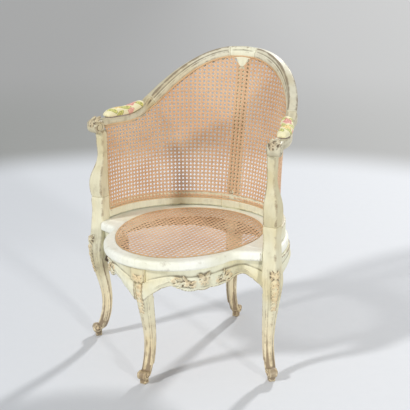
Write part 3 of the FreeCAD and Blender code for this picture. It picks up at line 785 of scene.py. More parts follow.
class Carving:
    """Carved ornaments gathered in one bmesh, to be joined to a piece before it is remeshed."""

    def __init__(self) -> None:
        """Starts empty."""
        self.form = bmesh.new()
        self.gilded: list[Vector] = []

    @staticmethod
    def frame_at(place: Vector, out: Vector, up: Vector) -> Matrix:
        """Matrix whose X runs across, Y along up and Z along out.

        Args:
            place: the origin.
            out: direction off the surface.
            up: direction that the ornament points in.

        Returns:
            The matrix.
        """
        out = out.normalized()
        along = (up - out * up.dot(out)).normalized()
        across = along.cross(out)
        return Matrix((
            (across.x, along.x, out.x, place.x), (across.y, along.y, out.y, place.y),
            (across.z, along.z, out.z, place.z), (0, 0, 0, 1)))

    def blob(self, spot: Matrix, place: Sequence[float], size: Sequence[float], turn: float = 0.0,
             gilt: bool = True) -> None:
        """Adds an egg-shaped lump.

        Args:
            spot: the ornament's own frame.
            place: centre in that frame.
            size: half sizes along the frame's axes.
            turn: turn about the frame's Z in radians.
            gilt: whether it was gilded.
        """
        matrix = spot @ Matrix.Translation(place) @ Matrix.Rotation(turn, 4, "Z")
        matrix = matrix @ Matrix.Diagonal((*size, 1.0))
        made = bmesh.ops.create_icosphere(self.form, subdivisions=2, radius=1.0, matrix=matrix)
        if gilt:
            self.gilded += [v.co.copy() for v in made["verts"]]

    def rosette(self, spot: Matrix, radius: float, petals: int = 5) -> None:
        """Adds a flower of round petals about a raised eye.

        Args:
            spot: the ornament's own frame.
            radius: to the tips of the petals.
            petals: how many.
        """
        for i in range(petals):
            turn = 2 * math.pi * i / petals
            place = (-math.sin(turn) * radius * 0.58, math.cos(turn) * radius * 0.58, radius * 0.1)
            self.blob(spot, place, (radius * 0.33, radius * 0.43, radius * 0.34), turn)
        self.blob(spot, (0, 0, radius * 0.22), (radius * 0.25, radius * 0.25, radius * 0.3))

    def leaf(self, spot: Matrix, length: float, width: float, height: float,
             lobes: int = 3) -> None:
        """Adds a lobed leaf with a sunk rib, from the frame's origin along its Y.

        Args:
            spot: the leaf's own frame.
            length: from stalk to tip.
            width: at its widest.
            height: how far it stands out.
            lobes: bulges along each edge.
        """
        rows, columns = 14, 7
        top, bottom = [], []
        for i in range(rows):
            share = i / (rows - 1)
            half = width / 2 * math.sin(math.pi * (0.06 + 0.9 * share) ** 0.8)
            half *= 1 + 0.22 * math.cos(2 * math.pi * lobes * share)
            top.append([])
            bottom.append([])
            for j in range(columns):
                across = 2 * j / (columns - 1) - 1
                rise = height * (1 - across ** 2) * math.sin(math.pi * (0.15 + 0.8 * share))
                rise -= 0.5 * height * math.exp(-(across / 0.2) ** 2)
                place = Vector((across * half, share * length, rise))
                top[-1].append(self.form.verts.new(spot @ place))
                self.gilded.append(spot @ place)
                place.z = -height
                bottom[-1].append(self.form.verts.new(spot @ place))
        for i in range(rows - 1):
            for j in range(columns - 1):
                self.form.faces.new((top[i][j], top[i][j + 1], top[i + 1][j + 1], top[i + 1][j]))
                self.form.faces.new((bottom[i][j], bottom[i + 1][j], bottom[i + 1][j + 1],
                                     bottom[i][j + 1]))
        rim_top, rim_low = (
            grid[0] + [row[-1] for row in grid[1:-1]] + grid[-1][::-1] + [row[0] for row in grid[-2:0:-1]]
            for grid in (top, bottom))
        for i in range(len(rim_top)):
            k = (i + 1) % len(rim_top)
            self.form.faces.new((rim_top[k], rim_top[i], rim_low[i], rim_low[k]))

    def bead(self, points: Sequence[Vector], radius: float, taper: float = 1.0,
             gilt: bool = False) -> None:
        """Adds a round bead along points.

        Args:
            points: places along its middle.
            radius: its radius in the middle of its run.
            taper: share of the radius left at its ends.
            gilt: whether it was gilded.
        """
        if gilt:
            self.gilded += [place.copy() for place in points]
        sides = 8
        rings = []
        count = len(points)
        for i, place in enumerate(points):
            along = (points[min(i + 1, count - 1)] - points[max(i - 1, 0)]).normalized()
            side = along.cross(Vector((0.31, 0.2, 0.93))).normalized()
            other = along.cross(side)
            share = max(0.0, math.sin(math.pi * i / (count - 1))) ** 0.5
            size = radius * (taper + (1 - taper) * share)
            rings.append([self.form.verts.new(place + (side * math.cos(a) + other * math.sin(a)) * size)
                          for a in (2 * math.pi * k / sides for k in range(sides))])
        for first, second in zip(rings, rings[1:]):
            for k in range(sides):
                n = (k + 1) % sides
                self.form.faces.new((first[k], first[n], second[n], second[k]))
        self.form.faces.new(rings[0][::-1])
        self.form.faces.new(rings[-1])

    def shell(self, spot: Matrix, radius: float, lobes: int = 7) -> None:
        """Adds a fan shell that opens downwards, with a small boss at its root.

        Args:
            spot: the ornament's own frame.
            radius: from the root to the edge.
            lobes: how many ribs.
        """
        for i in range(lobes):
            turn = math.radians(105) * (2 * i / (lobes - 1) - 1)
            size = radius * (1 - 0.16 * abs(2 * i / (lobes - 1) - 1))
            place = (math.sin(turn) * size * 0.55, -math.cos(turn) * size * 0.55, 0.0)
            self.blob(spot, place, (size * 0.17, size * 0.5, size * 0.2), turn)
        self.blob(spot, (0, 0.002, 0.002), (radius * 0.3, radius * 0.26, radius * 0.3))


class Surface:
    """Faces of a mesh as something to place carving on."""

    def __init__(self, mesh: Mesh) -> None:
        """Reads the mesh's faces."""
        faces = [tuple(f.vertices) for f in mesh.polygons]
        self.tree = BVHTree.FromPolygons([v.co.copy() for v in mesh.vertices], faces)

    def hit(self, start: Vector, direction: Vector, reach: float = 0.5) -> Hit:
        """First point and normal met by a ray within its reach, or None."""
        place, normal, _, _ = self.tree.ray_cast(start, direction.normalized(), reach)
        return (place, normal) if place is not None else None


@dataclass(frozen=True)
class Spiral:
    """Flat spiral that winds inwards, in shares of a radius."""

    count: int
    start: float
    turn: float
    outer: float
    fall: float

    def points(self, radius: float) -> list[Pair]:
        """Its points for a radius.

        Args:
            radius: radius of what it lies on.

        Returns:
            Places along the two axes of its plane.
        """
        made = []
        for share in spread(self.count):
            angle, reach = self.start + share * self.turn, radius * (self.outer - self.fall * share)
            made.append((math.cos(angle) * reach, math.sin(angle) * reach))
        return made


@dataclass
class Joinery:
    """Painted pieces: a remeshed copy of each solid, with its carving and rounded edges."""

    relief: Relief
    voxel: float = 0.0016
    smoothing: int = 5
    peg_margin: float = 0.002

    def copy_of(self, node: str, extra: Optional[Carving], pegs: bool) -> Object:
        """Copy of a solid with its carving, and with its peg holes filled.

        Args:
            node: the solid's name.
            extra: carving to join on.
            pegs: whether the pegs that lie in the piece are joined too.

        Returns:
            An object with the joined mesh.
        """
        form = solid_form(node)
        if pegs:
            low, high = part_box(node)
            other = solid_form("leg_pegs")
            outside = [v for v in other.verts if any(
                not low[i] - self.peg_margin <= v.co[i] <= high[i] + self.peg_margin for i in range(3))]
            bmesh.ops.delete(other, geom=outside, context="VERTS")
            self.join(form, other)
        if extra is not None:
            self.join(form, extra.form)
        return add_object(node + "_rough", mesh_of(form, node))

    @staticmethod
    def join(form: BMesh, other: BMesh) -> None:
        """Adds another bmesh's faces to a form and frees it.

        Args:
            form: what the faces go to.
            other: what they come from.
        """
        rest = mesh_of(other, "joined")
        form.from_mesh(rest)
        bpy.data.meshes.remove(rest)

    def shape(self, node: str, extra: Optional[Carving] = None, pegs: bool = False,
              bare: bool = False) -> Mesh:
        """Remeshed and softened mesh of a solid.

        Args:
            node: the solid's name.
            extra: carving to join on.
            pegs: whether to fill its peg holes.
            bare: whether its inner faces were never painted.

        Returns:
            The finished mesh.
        """
        carved = np.array(extra.gilded) if extra is not None else None
        rough = self.copy_of(node, extra, pegs)
        modify(rough, "REMESH", mode="VOXEL", voxel_size=self.voxel)
        modify(rough, "SMOOTH", factor=0.5, iterations=self.smoothing)
        mesh = baked(rough)
        mesh.name = node
        mesh.shade_smooth()
        self.relief.store(mesh, node, carved, bare)
        return mesh

    def single(self, material: Material, node: str, extra: Optional[Carving] = None,
               pegs: bool = False, also: Sequence[str] = ()) -> None:
        """Builds one piece that stands on the middle plane."""
        piece = add_object("dressed_" + node, self.shape(node, extra, pegs))
        finish_piece(piece, material, Slot.PAINT, node, *also)

    def pair(self, material: Material, node: str, extra: Optional[Carving] = None,
             pegs: bool = False, bare: bool = False) -> None:
        """Builds a right-hand piece and its mirror image.

        Args:
            material: the finish.
            node: the right-hand solid.
            extra: carving to join on.
            pegs: whether to fill its peg holes.
            bare: whether its inner faces were never painted.
        """
        right = self.shape(node, extra, pegs, bare)
        other = node.replace("right", "left")
        left = mirrored(right, other)
        for name, mesh in ((node, right), (other, left)):
            finish_piece(add_object("dressed_" + name, mesh), material, Slot.PAINT, name)


@dataclass
class BowFront:
    """Plan of the right half of the bow front: a convex arc, a hollow arc and a straight run."""

    radius: float = 0.213
    centre_y: float = -0.077 + HORSESHOE_Y
    turn: float = math.radians(81)
    hollow: float = 0.045
    last: float = math.radians(20)
    stump_x: float = 0.291
    rail_offset: float = 0.033

    @staticmethod
    def out(angle: float) -> Vector:
        """Level direction at an angle from the front."""
        return Vector((math.sin(angle), -math.cos(angle), 0))

    def at(self, share: float) -> tuple[Vector, Vector]:
        """Point of the rail's middle line and its outward direction.

        Args:
            share: how far along, from the front leg to the stump.

        Returns:
            The point and the direction.
        """
        convex, hollow = self.radius - self.rail_offset, self.hollow + self.rail_offset
        centre = Vector((0, self.centre_y, 0))
        far = centre + self.out(self.turn) * (self.radius + self.hollow)
        first = convex * self.turn
        second = first + hollow * (self.turn - self.last)
        start = far - self.out(self.last) * hollow
        length = second + (self.stump_x - start.x) / math.cos(self.last)
        distance = share * length
        if distance <= first:
            out = self.out(distance / convex)
            return centre + out * convex, out
        if distance <= second:
            out = self.out(self.turn - (distance - first) / hollow)
            return far - out * hollow, out
        out = self.out(self.last)
        return start + Vector((-out.y, out.x, 0)) * (distance - second), out


@dataclass
class SeatRails:
    """Serpentine rails under the seat, with a carved shell and flowers on each front rail."""

    work: Joinery
    bow: BowFront
    ray_start: float = 0.06
    face_room: float = 0.03
    search_from: float = 0.270
    search_step: float = 0.001
    search_steps: int = 150
    shell_share: float = 0.465
    shell_rise: float = 0.030
    shell_radius: float = 0.021
    shell_leaf: Triple = (0.026, 0.012, 0.005)
    shell_turn: float = 0.9
    spray_shares: Pair = (0.335, 0.625)
    flower_radius: float = 0.0125
    flower_rise: float = 0.018
    # Place along the rail from the flower, rise, turn and length of each leaf
    spray_leaves: Rows = (
        (0.025, 0.016, 1.75, 0.028), (0.03, 0.024, 1.15, 0.022), (0.005, 0.026, 0.45, 0.016),
        (-0.03, 0.020, -1.3, 0.018), (-0.02, 0.012, -2.0, 0.017), (0.03, 0.010, 2.2, 0.019))
    spray_width: float = 0.4
    spray_height: float = 0.0052
    # Place along the rail from the flower, rise and radius of each bud
    spray_buds: Rows = ((0.085, 0.017, 0.0062), (-0.055, 0.014, 0.0055))
    bead_radius: float = 0.0040
    bead_taper: float = 0.7
    bead_points: int = 80
    bead_run: Pair = (0.09, 0.95)
    bead_out: float = 0.0006
    bead_rise: float = 0.002
    inner_radius: float = 0.0019
    inner_rise: float = 0.015
    inner_taper: float = 0.5
    inner_points: int = 30
    inner_runs: Rows = ((0.10, 0.27), (0.72, 0.93))
    lobes: Rows = ((0.245, 0.42), (0.425, 0.505), (0.515, 0.735))
    lobe_drop: float = 0.0042
    lobe_rise: float = 0.006
    lobe_lumps: int = 9
    lobe_size: Triple = (0.007, 0.006, 0.0065)
    lobe_sink: Pair = (0.004, 0.006)

    def __post_init__(self) -> None:
        """Reads the right front rail's faces."""
        self.face = Surface(solid("front_right_rail"))

    def face_hit(self, share: float, z: float) -> Hit:
        """Point of the rail's face at a place along it and a height, and the outward direction.

        Args:
            share: how far along the rail.
            z: the height.

        Returns:
            The point and the direction, or None.
        """
        middle, out = self.bow.at(share)
        met = self.face.hit(middle + out * self.ray_start + UP * z, -out)
        return (met[0], out) if met else None

    def low_edge(self, share: float) -> Optional[tuple[Vector, Vector, float]]:
        """Lowest point of the rail's face at a place along it, the outward direction and its height.

        Args:
            share: how far along the rail.

        Returns:
            The point, the direction and the height, or None.
        """
        middle, _ = self.bow.at(share)
        for step in range(self.search_steps):
            z = self.search_from + step * self.search_step
            met = self.face_hit(share, z)
            if met is not None and (met[0] - middle).xy.length < self.face_room:
                return *met, z
        return None

    def on_face(self, share: float, rise: float) -> Optional[Matrix]:
        """Frame on the rail's face, a rise above its lower edge.

        Args:
            share: how far along the rail.
            rise: height above the lower edge.

        Returns:
            The frame, or None.
        """
        low = self.low_edge(share)
        met = self.face_hit(share, low[2] + rise) if low else None
        return Carving.frame_at(*met, UP) if met else None

    def carve(self) -> Carving:
        """Shell, two sprays, scalloped lobes and lower bead of the right front rail.

        Returns:
            The carving.
        """
        carving = Carving()
        centre = self.on_face(self.shell_share, self.shell_rise)
        carving.shell(centre, self.shell_radius)
        for turn in (-self.shell_turn, self.shell_turn):
            carving.leaf(centre @ Matrix.Rotation(turn, 4, "Z"), *self.shell_leaf)
        for share, side in zip(self.spray_shares, (-1, 1)):
            self.spray(carving, share, side)
        for lobe in self.lobes:
            self.lobe(carving, *lobe)
        points = []
        for share in spread(self.bead_points, *self.bead_run):
            low = self.low_edge(share)
            if low is not None:
                points.append(low[0] + low[1] * self.bead_out + UP * (self.bead_rise - self.dip(share)))
        carving.bead(points, self.bead_radius, self.bead_taper)
        for run in self.inner_runs:
            places = [self.on_face(share, self.inner_rise)
                      for share in spread(self.inner_points, *run)]
            carving.bead([p.translation for p in places if p is not None], self.inner_radius,
                         self.inner_taper)
        return carving

    def dip(self, share: float) -> float:
        """How far the lower bead hangs below the rail at a place along it.

        Args:
            share: how far along the rail.

        Returns:
            The depth.
        """
        for first, last in self.lobes:
            if first < share < last:
                return self.lobe_drop * math.sin(math.pi * (share - first) / (last - first)) ** 0.6
        return 0.0

    def lobe(self, carving: Carving, first: float, last: float) -> None:
        """Adds a flat lobe under the rail between two places.

        Args:
            carving: what to add it to.
            first: where it starts along the rail.
            last: where it ends.
        """
        for i in range(self.lobe_lumps):
            share = first + (last - first) * (i + 0.5) / self.lobe_lumps
            half = self.dip(share) / 2
            wide, high, thick = self.lobe_size
            below, behind = self.lobe_sink
            carving.blob(self.on_face(share, self.lobe_rise), (0, -below - half, -behind),
                         (wide, high + half, thick), gilt=False)

    def spray(self, carving: Carving, share: float, side: int) -> None:
        """Adds a flower with leaves that lead away from the shell.

        Args:
            carving: what to add it to.
            share: place of the flower along the rail.
            side: direction away from the shell along the rail.
        """
        carving.rosette(self.on_face(share, self.flower_rise), self.flower_radius)
        for reach, rise, turn, length in self.spray_leaves:
            place = self.on_face(share + side * reach, rise)
            carving.leaf(place @ Matrix.Rotation(-side * turn, 4, "Z"), length, length * self.spray_width,
                         self.spray_height)
        for reach, rise, radius in self.spray_buds:
            carving.rosette(self.on_face(share + side * reach, rise), radius)

    def build(self, material: Material) -> None:
        """Builds the four rails."""
        self.work.pair(material, "front_right_rail", self.carve(), bare=True)
        self.work.pair(material, "back_right_rail", bare=True)


@dataclass
class LegSet:
    """Four cabriole legs with carved knees and scrolled toes."""

    work: Joinery
    drop_top: float = 0.345
    drop_foot: float = 0.255
    drop_gap: float = 0.016
    ray_start: float = 0.12
    side_start: float = 0.08
    leaves: int = 8
    leaf_size: float = 0.019
    leaf_width: float = 0.42
    leaf_height: float = 0.0042
    leaf_turn: float = 0.5
    leaf_beside: float = 0.005
    flower: float = 0.0125
    bud: float = 0.0066
    bud_rise: float = 0.004
    # Turn and length of the leaves about the flower
    knee_leaves: Rows = ((2.5, 0.018), (1.7, 0.013), (0.75, 0.016))
    knee_height: float = 0.0048
    knee_beside: float = 0.004
    rim_top: float = 0.37
    rim_foot: float = 0.055
    rim_radius: float = 0.0034
    rim_share: float = 0.74
    rim_points: int = 48
    rim_lift: float = 0.03
    rim_sink: float = 0.0008
    rim_taper: float = 0.55
    flank_from: int = 13
    flank_back: float = 0.006
    flank_sink: float = 0.0005
    flank_taper: float = 0.4
    ridge_sink: float = 0.001
    ridge_lean: float = 0.8
    toe_height: float = 0.030
    toe_radius: float = 0.0174
    toe_start: float = 0.05
    toe_spiral: Spiral = Spiral(48, 2.0, -2.9 * math.pi, 0.86, 0.62)
    toe_bead: float = 0.0031
    toe_taper: float = 0.6
    toe_eye: float = 0.0036
    volute_room: float = 0.006

    def carve(self, node: str, axis: Vector, out: Vector, knee: bool) -> Carving:
        """Flower and a drop of leaves down the knee's ridge, and a raised rim down each side.

        Args:
            node: the leg's solid.
            axis: a point on the leg's axis.
            out: level direction of its outer ridge.
            knee: whether the knee is carved too.

        Returns:
            The carving.
        """
        surface = Surface(solid(node))
        carving = Carving()
        side = Vector((-out.y, out.x, 0))

        def ridge(z: float, beside: float = 0.0) -> Matrix:
            """Frame on the leg's outer surface at a height, pointing down."""
            place, normal = surface.hit(axis + out * self.ray_start + side * beside + UP * z, -out)
            return Carving.frame_at(place - out * self.ridge_sink, out + normal * self.ridge_lean, -UP)

        for end in (-side, side):
            edge, flank = [], []
            for z in spread(self.rim_points, self.rim_top, self.rim_foot):
                level = axis + UP * z
                outer, _ = surface.hit(level + out * self.ray_start, -out)
                inner, _ = surface.hit(level - out * self.ray_start, out)
                corner, _ = surface.hit((outer + inner) / 2 + end * self.side_start, -end)
                half = (corner - outer).dot(end)
                met = surface.hit(outer + out * self.rim_lift + end * half * self.rim_share, -out)
                edge.append(met[0] - out * self.rim_sink)
                flank.append(corner - out * self.flank_back - end * self.flank_sink)
            carving.bead(edge, self.rim_radius, self.rim_taper)
            carving.bead(flank[self.flank_from:], self.rim_radius, self.flank_taper)
            self.volute(carving, surface, axis, out, end)
        if not knee:
            return carving
        carving.rosette(ridge(self.drop_top), self.flower)
        for beside in (-1, 1):
            for turn, length in self.knee_leaves:
                place = ridge(self.drop_top, beside * self.knee_beside)
                carving.leaf(place @ Matrix.Rotation(beside * turn, 4, "Z"), length,
                             length * self.leaf_width, self.knee_height)
        for i, share in enumerate(spread(self.leaves)):
            z = self.drop_top - self.drop_gap + (self.drop_foot - self.drop_top) * share
            size = self.leaf_size * (1 - 0.4 * share)
            for beside in (-1, 1):
                place = ridge(z, beside * self.leaf_beside * (1 - 0.5 * share))
                carving.leaf(place @ Matrix.Rotation(beside * self.leaf_turn, 4, "Z"), size,
                             size * self.leaf_width, self.leaf_height)
            if i % 2:
                carving.rosette(ridge(z + self.bud_rise), self.bud * (1 - 0.3 * share))
        return carving

    def volute(self, carving: Carving, surface: Surface, axis: Vector, out: Vector, side: Vector) -> None:
        """Adds a spiral to one side of the rolled toe.

        Args:
            carving: what to add it to.
            surface: the leg.
            axis: a point on the leg's axis.
            out: level direction of its outer ridge.
            side: direction that the spiral faces.
        """
        front, _ = surface.hit(axis + out * self.ray_start + UP * self.toe_height, -out)
        centre = front - out * self.toe_radius
        flank = surface.hit(centre + side * self.toe_start, -side)
        if flank is None:
            return
        points = []
        for along, rise in self.toe_spiral.points(self.toe_radius):
            place = flank[0] + out * along + UP * rise
            met = surface.hit(place + side * self.toe_start, -side)
            if met is not None and abs((met[0] - place).dot(side)) < self.volute_room:
                points.append(met[0])
        carving.bead(points, self.toe_bead, self.toe_taper, gilt=True)
        carving.blob(Carving.frame_at(flank[0], side, UP), (0, 0, 0), (self.toe_eye,) * 3)

    def build(self, material: Material) -> None:
        """Builds the four legs.

        Args:
            material: the finish.
        """
        diagonal = Vector((1, -1, 0)).normalized()
        side = self.carve("right_leg", Vector((LEG_X, LEG_Y, 0)), diagonal, True)
        self.work.pair(material, "right_leg", side, True)
        front = self.carve("front_leg", Vector((0, FRONT_LEG_Y, 0)), Vector((0, -1, 0)), True)
        self.work.single(material, "front_leg", front, True, ("leg_pegs",))
        back = self.carve("back_leg", Vector((0, BACK_LEG_Y, 0)), Vector((0, 1, 0)), False)
        self.work.single(material, "back_leg", back, True)


@dataclass
class BackFrame:
    """Horseshoe top rails, lower rails and the middle stile."""

    work: Joinery

    def build(self, grey: Material, material: Material) -> None:
        """Builds the top rails, which have greyed and whose dark worn edges also paint the shade along
        their outer edge, the lower rails and the stile.

        Args:
            grey: finish of the top rails, with painted shade on their worn edges.
            material: finish of the rest.
        """
        self.work.pair(grey, "right_top_rail")
        self.work.pair(material, "right_lower_rail")
        self.work.single(material, "back_stile")


@dataclass
class Arms:
    """Scrolled arms on S-shaped posts."""

    work: Joinery
    scroll_radius: float = 0.0205
    scroll_half: float = 0.0197
    scroll_spiral: Spiral = Spiral(40, 0.6, 3.2 * math.pi, 0.95, 0.5)
    scroll_bead: float = 0.0022
    scroll_taper: float = 0.6
    ray_start: float = 0.06
    crown: float = 1.4
    # Turn back from the scroll's front, place across it and length of each leaf
    leaves: Rows = (
        (0.25, 0.0, 0.036), (0.5, 0.010, 0.030), (0.5, -0.010, 0.030), (1.3, 0.005, 0.026),
        (1.3, -0.005, 0.026))
    leaf_width: float = 0.42
    leaf_height: float = 0.005

    def carve(self) -> Carving:
        """Leaves over the scroll and spirals on its two ends.

        Returns:
            The carving.
        """
        surface = Surface(solid("right_arm"))
        carving = Carving()
        forward = Vector((0.2, -1, 0)).normalized()
        side = Vector((-forward.y, forward.x, 0))
        centre = self.scroll_centre()
        for turn, beside, size in self.leaves:
            angle = self.crown - turn
            ray = forward * math.cos(angle) + UP * math.sin(angle)
            met = surface.hit(centre + ray * self.ray_start + side * beside, -ray)
            if met is not None:
                place = Carving.frame_at(met[0], ray, UP * math.cos(angle) - forward * math.sin(angle))
                carving.leaf(place, size, size * self.leaf_width, self.leaf_height)
        for end in (-side, side):
            middle = centre + end * self.scroll_half
            carving.bead([middle + forward * along + UP * rise
                          for along, rise in self.scroll_spiral.points(self.scroll_radius)],
                         self.scroll_bead, self.scroll_taper)
        return carving

    def scroll_centre(self) -> Vector:
        """Middle of the rolled front end, found from its solid.

        Returns:
            The point.
        """
        low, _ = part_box("right_arm")
        points = [v.co for v in solid("right_arm").vertices if v.co.y < low.y + 2.2 * self.scroll_radius]
        front = [p.x for p in points if p.y < low.y + self.scroll_radius]
        return Vector((sum(front) / len(front), low.y + self.scroll_radius * 1.02,
                       min(p.z for p in points) + self.scroll_radius))

    def build(self, worn: Material, material: Material) -> None:
        """Builds the arms, which hands have worn, and the posts."""
        self.work.pair(worn, "right_arm", self.carve())
        self.work.pair(material, "right_arm_post")


@dataclass
class SeatFrame:
    """Four members of the caned seat frame."""

    work: Joinery

    def build(self, material: Material) -> None:
        """Builds the members."""
        self.work.pair(material, "seat_frame_front_right")
        self.work.pair(material, "seat_frame_back_right")


@dataclass(frozen=True)
class Weave:
    """Sizes of the woven cane."""

    pitch: float = 0.0125
    strand: float = 0.0021
    slanted: float = 0.0026
    thickness: float = 0.0006
    wave: float = 0.00055


@dataclass(frozen=True)
class Family:
    """One set of parallel strands, in steps of the pitch."""

    start: Pair
    step: Pair
    count: int
    along: Pair
    length: int
    width: str
    lift: float
    phase: float


class SizedTree:
    """Geometry node tree with named sizes and a finish."""

    def __init__(self, name: str, sizes: Sequence[str]) -> None:
        """Starts the tree.

        Args:
            name: the tree's name.
            sizes: names of its number inputs.
        """
        self.tree = bpy.data.node_groups.new(name, "GeometryNodeTree")
        kinds = [("Geometry", "NodeSocketGeometry"), *((label, NUMBER) for label in sizes),
                 ("Finish", "NodeSocketMaterial")]
        for label, kind in kinds:
            self.tree.interface.new_socket(label, in_out="INPUT", socket_type=kind)
        self.tree.interface.new_socket("Geometry", in_out="OUTPUT", socket_type="NodeSocketGeometry")
        self.graph = Graph(self.tree)
        self.given = self.graph.node("NodeGroupInput").outputs

    def end(self, geometry: Socket) -> None:
        """Realizes the geometry, gives it the finish and puts it out.

        Args:
            geometry: what the tree has made.
        """
        whole = self.graph.get("GeometryNodeRealizeInstances", {0: geometry})
        dressed = self.graph.get("GeometryNodeSetMaterial", {0: whole, "Material": self.given["Finish"]})
        self.graph.link(dressed, self.graph.node("NodeGroupOutput").inputs[0])

    def run(self, source: Object, sizes: Any, material: Material) -> Mesh:
        """Runs the tree on an object.

        Args:
            source: the object, which is removed.
            sizes: dataclass with the tree's sizes.
            material: the finish.

        Returns:
            The new mesh.
        """
        values = {label.capitalize(): value for label, value in asdict(sizes).items()}
        values["Finish"] = material
        modifier = source.modifiers.new("tree", "NODES")
        modifier.node_group = self.tree
        for item in self.tree.interface.items_tree:
            if item.in_out == "INPUT" and item.name in values:
                modifier[item.identifier] = values[item.name]
        return baked(source)


class WeaveTree(SizedTree):
    """Node tree that lays flat families of strands and wraps them onto a panel by its UV map.

    The panel has a "flat" UV map and a "room" attribute.
    """

    def __init__(self, name: str, families: Sequence[Family]) -> None:
        """Builds the tree.

        Args:
            name: the tree's name.
            families: the sets of strands.
        """
        super().__init__(name, ("Pitch", "Strand", "Slanted", "Thickness", "Wave"))
        joined = self.graph.node("GeometryNodeJoinGeometry")
        for family in families:
            self.graph.link(self.strands(family), joined.inputs[0])
        self.end(self.wrap(joined.outputs[0]))

    def scaled(self, steps: Pair) -> Socket:
        """A flat vector of pitch steps in metres."""
        return self.graph.scale((*steps, 0.0), self.given["Pitch"])

    def room(self, place: Socket) -> Socket:
        """Distance inside the panel's edge at a flat place, from the panel's own attribute."""
        inset = self.graph.get("GeometryNodeInputNamedAttribute", {"Name": "room"}, data_type="FLOAT")
        return self.sample("FLOAT", inset, place)

    def sample(self, kind: str, value: Socket,
               place: Socket) -> Socket:
        """Value of the panel at a flat place, through its UV map.

        Args:
            kind: the value's type.
            value: what is read.
            place: the flat place.

        Returns:
            The value there.
        """
        flat = self.graph.get("GeometryNodeInputNamedAttribute", {"Name": "flat"},
                              data_type="FLOAT_VECTOR")
        made = self.graph.node("GeometryNodeSampleUVSurface", {
            0: self.given["Geometry"], "Source UV Map": flat, "Sample UV": place}, data_type=kind)
        self.graph.link(value, next(s for s in made.inputs if s.name == "Value" and s.enabled))
        return next(s for s in made.outputs if s.name == "Value" and s.enabled)

    def strands(self, family: Family) -> Socket:
        """Flat strands of one family, cut to the panel and given their width.

        Args:
            family: the set of strands.

        Returns:
            Its ribbons.
        """
        graph = self.graph
        line = graph.get("GeometryNodeMeshLine", {
            "Count": family.length, "Start Location": (0.0, 0.0, 0.0),
            "Offset": self.scaled(family.along)}, mode="OFFSET")
        rows = graph.get("GeometryNodeMeshLine", {
            "Count": family.count, "Start Location": self.scaled(family.start),
            "Offset": self.scaled(family.step)}, mode="OFFSET")
        laid = graph.get("GeometryNodeInstanceOnPoints", {"Points": rows, "Instance": line})
        real = graph.get("GeometryNodeRealizeInstances", {0: laid})
        place = graph.get("GeometryNodeInputPosition")
        outside = graph.get("FunctionNodeCompare", {0: self.room(place), 1: 0.0}, data_type="FLOAT",
                            operation="LESS_EQUAL")
        kept = graph.get("GeometryNodeDeleteGeometry", {0: real, "Selection": outside}, domain="POINT")
        axes = graph.axes(place)
        total = graph.plus(axes[0], axes[1])
        turns = graph.math("DIVIDE", graph.times(total, math.pi), self.given["Pitch"])
        swing = graph.math("SINE", graph.plus(turns, family.phase))
        height = graph.times(graph.plus(swing, family.lift), self.given["Wave"])
        offset = graph.get("ShaderNodeCombineXYZ", {2: height})
        waved = graph.get("GeometryNodeSetPosition", {"Geometry": kept, "Offset": offset})
        curve = graph.get("GeometryNodeMeshToCurve", {"Mesh": waved})
        level = graph.get("GeometryNodeSetCurveNormal", {"Curve": curve}, mode="Z_UP")
        profile = graph.get("GeometryNodeCurvePrimitiveQuadrilateral", {
            "Width": self.given[family.width], "Height": self.given["Thickness"]})
        return graph.get("GeometryNodeCurveToMesh", {"Curve": level, "Profile Curve": profile,
                                                     "Fill Caps": True})

    def wrap(self, flat: Socket) -> Socket:
        """Moves flat ribbons onto the panel, with their height along its normal.

        Args:
            flat: the flat ribbons.

        Returns:
            The ribbons on the panel.
        """
        graph = self.graph
        place = graph.get("GeometryNodeInputPosition")
        ground = self.sample("FLOAT_VECTOR", graph.get("GeometryNodeInputPosition"), place)
        out = self.sample("FLOAT_VECTOR", graph.get("GeometryNodeInputNormal"), place)
        moved = graph.vector("ADD", ground, graph.scale(out, graph.axes(place)[2]))
        return graph.get("GeometryNodeSetPosition", {"Geometry": flat, "Position": moved})


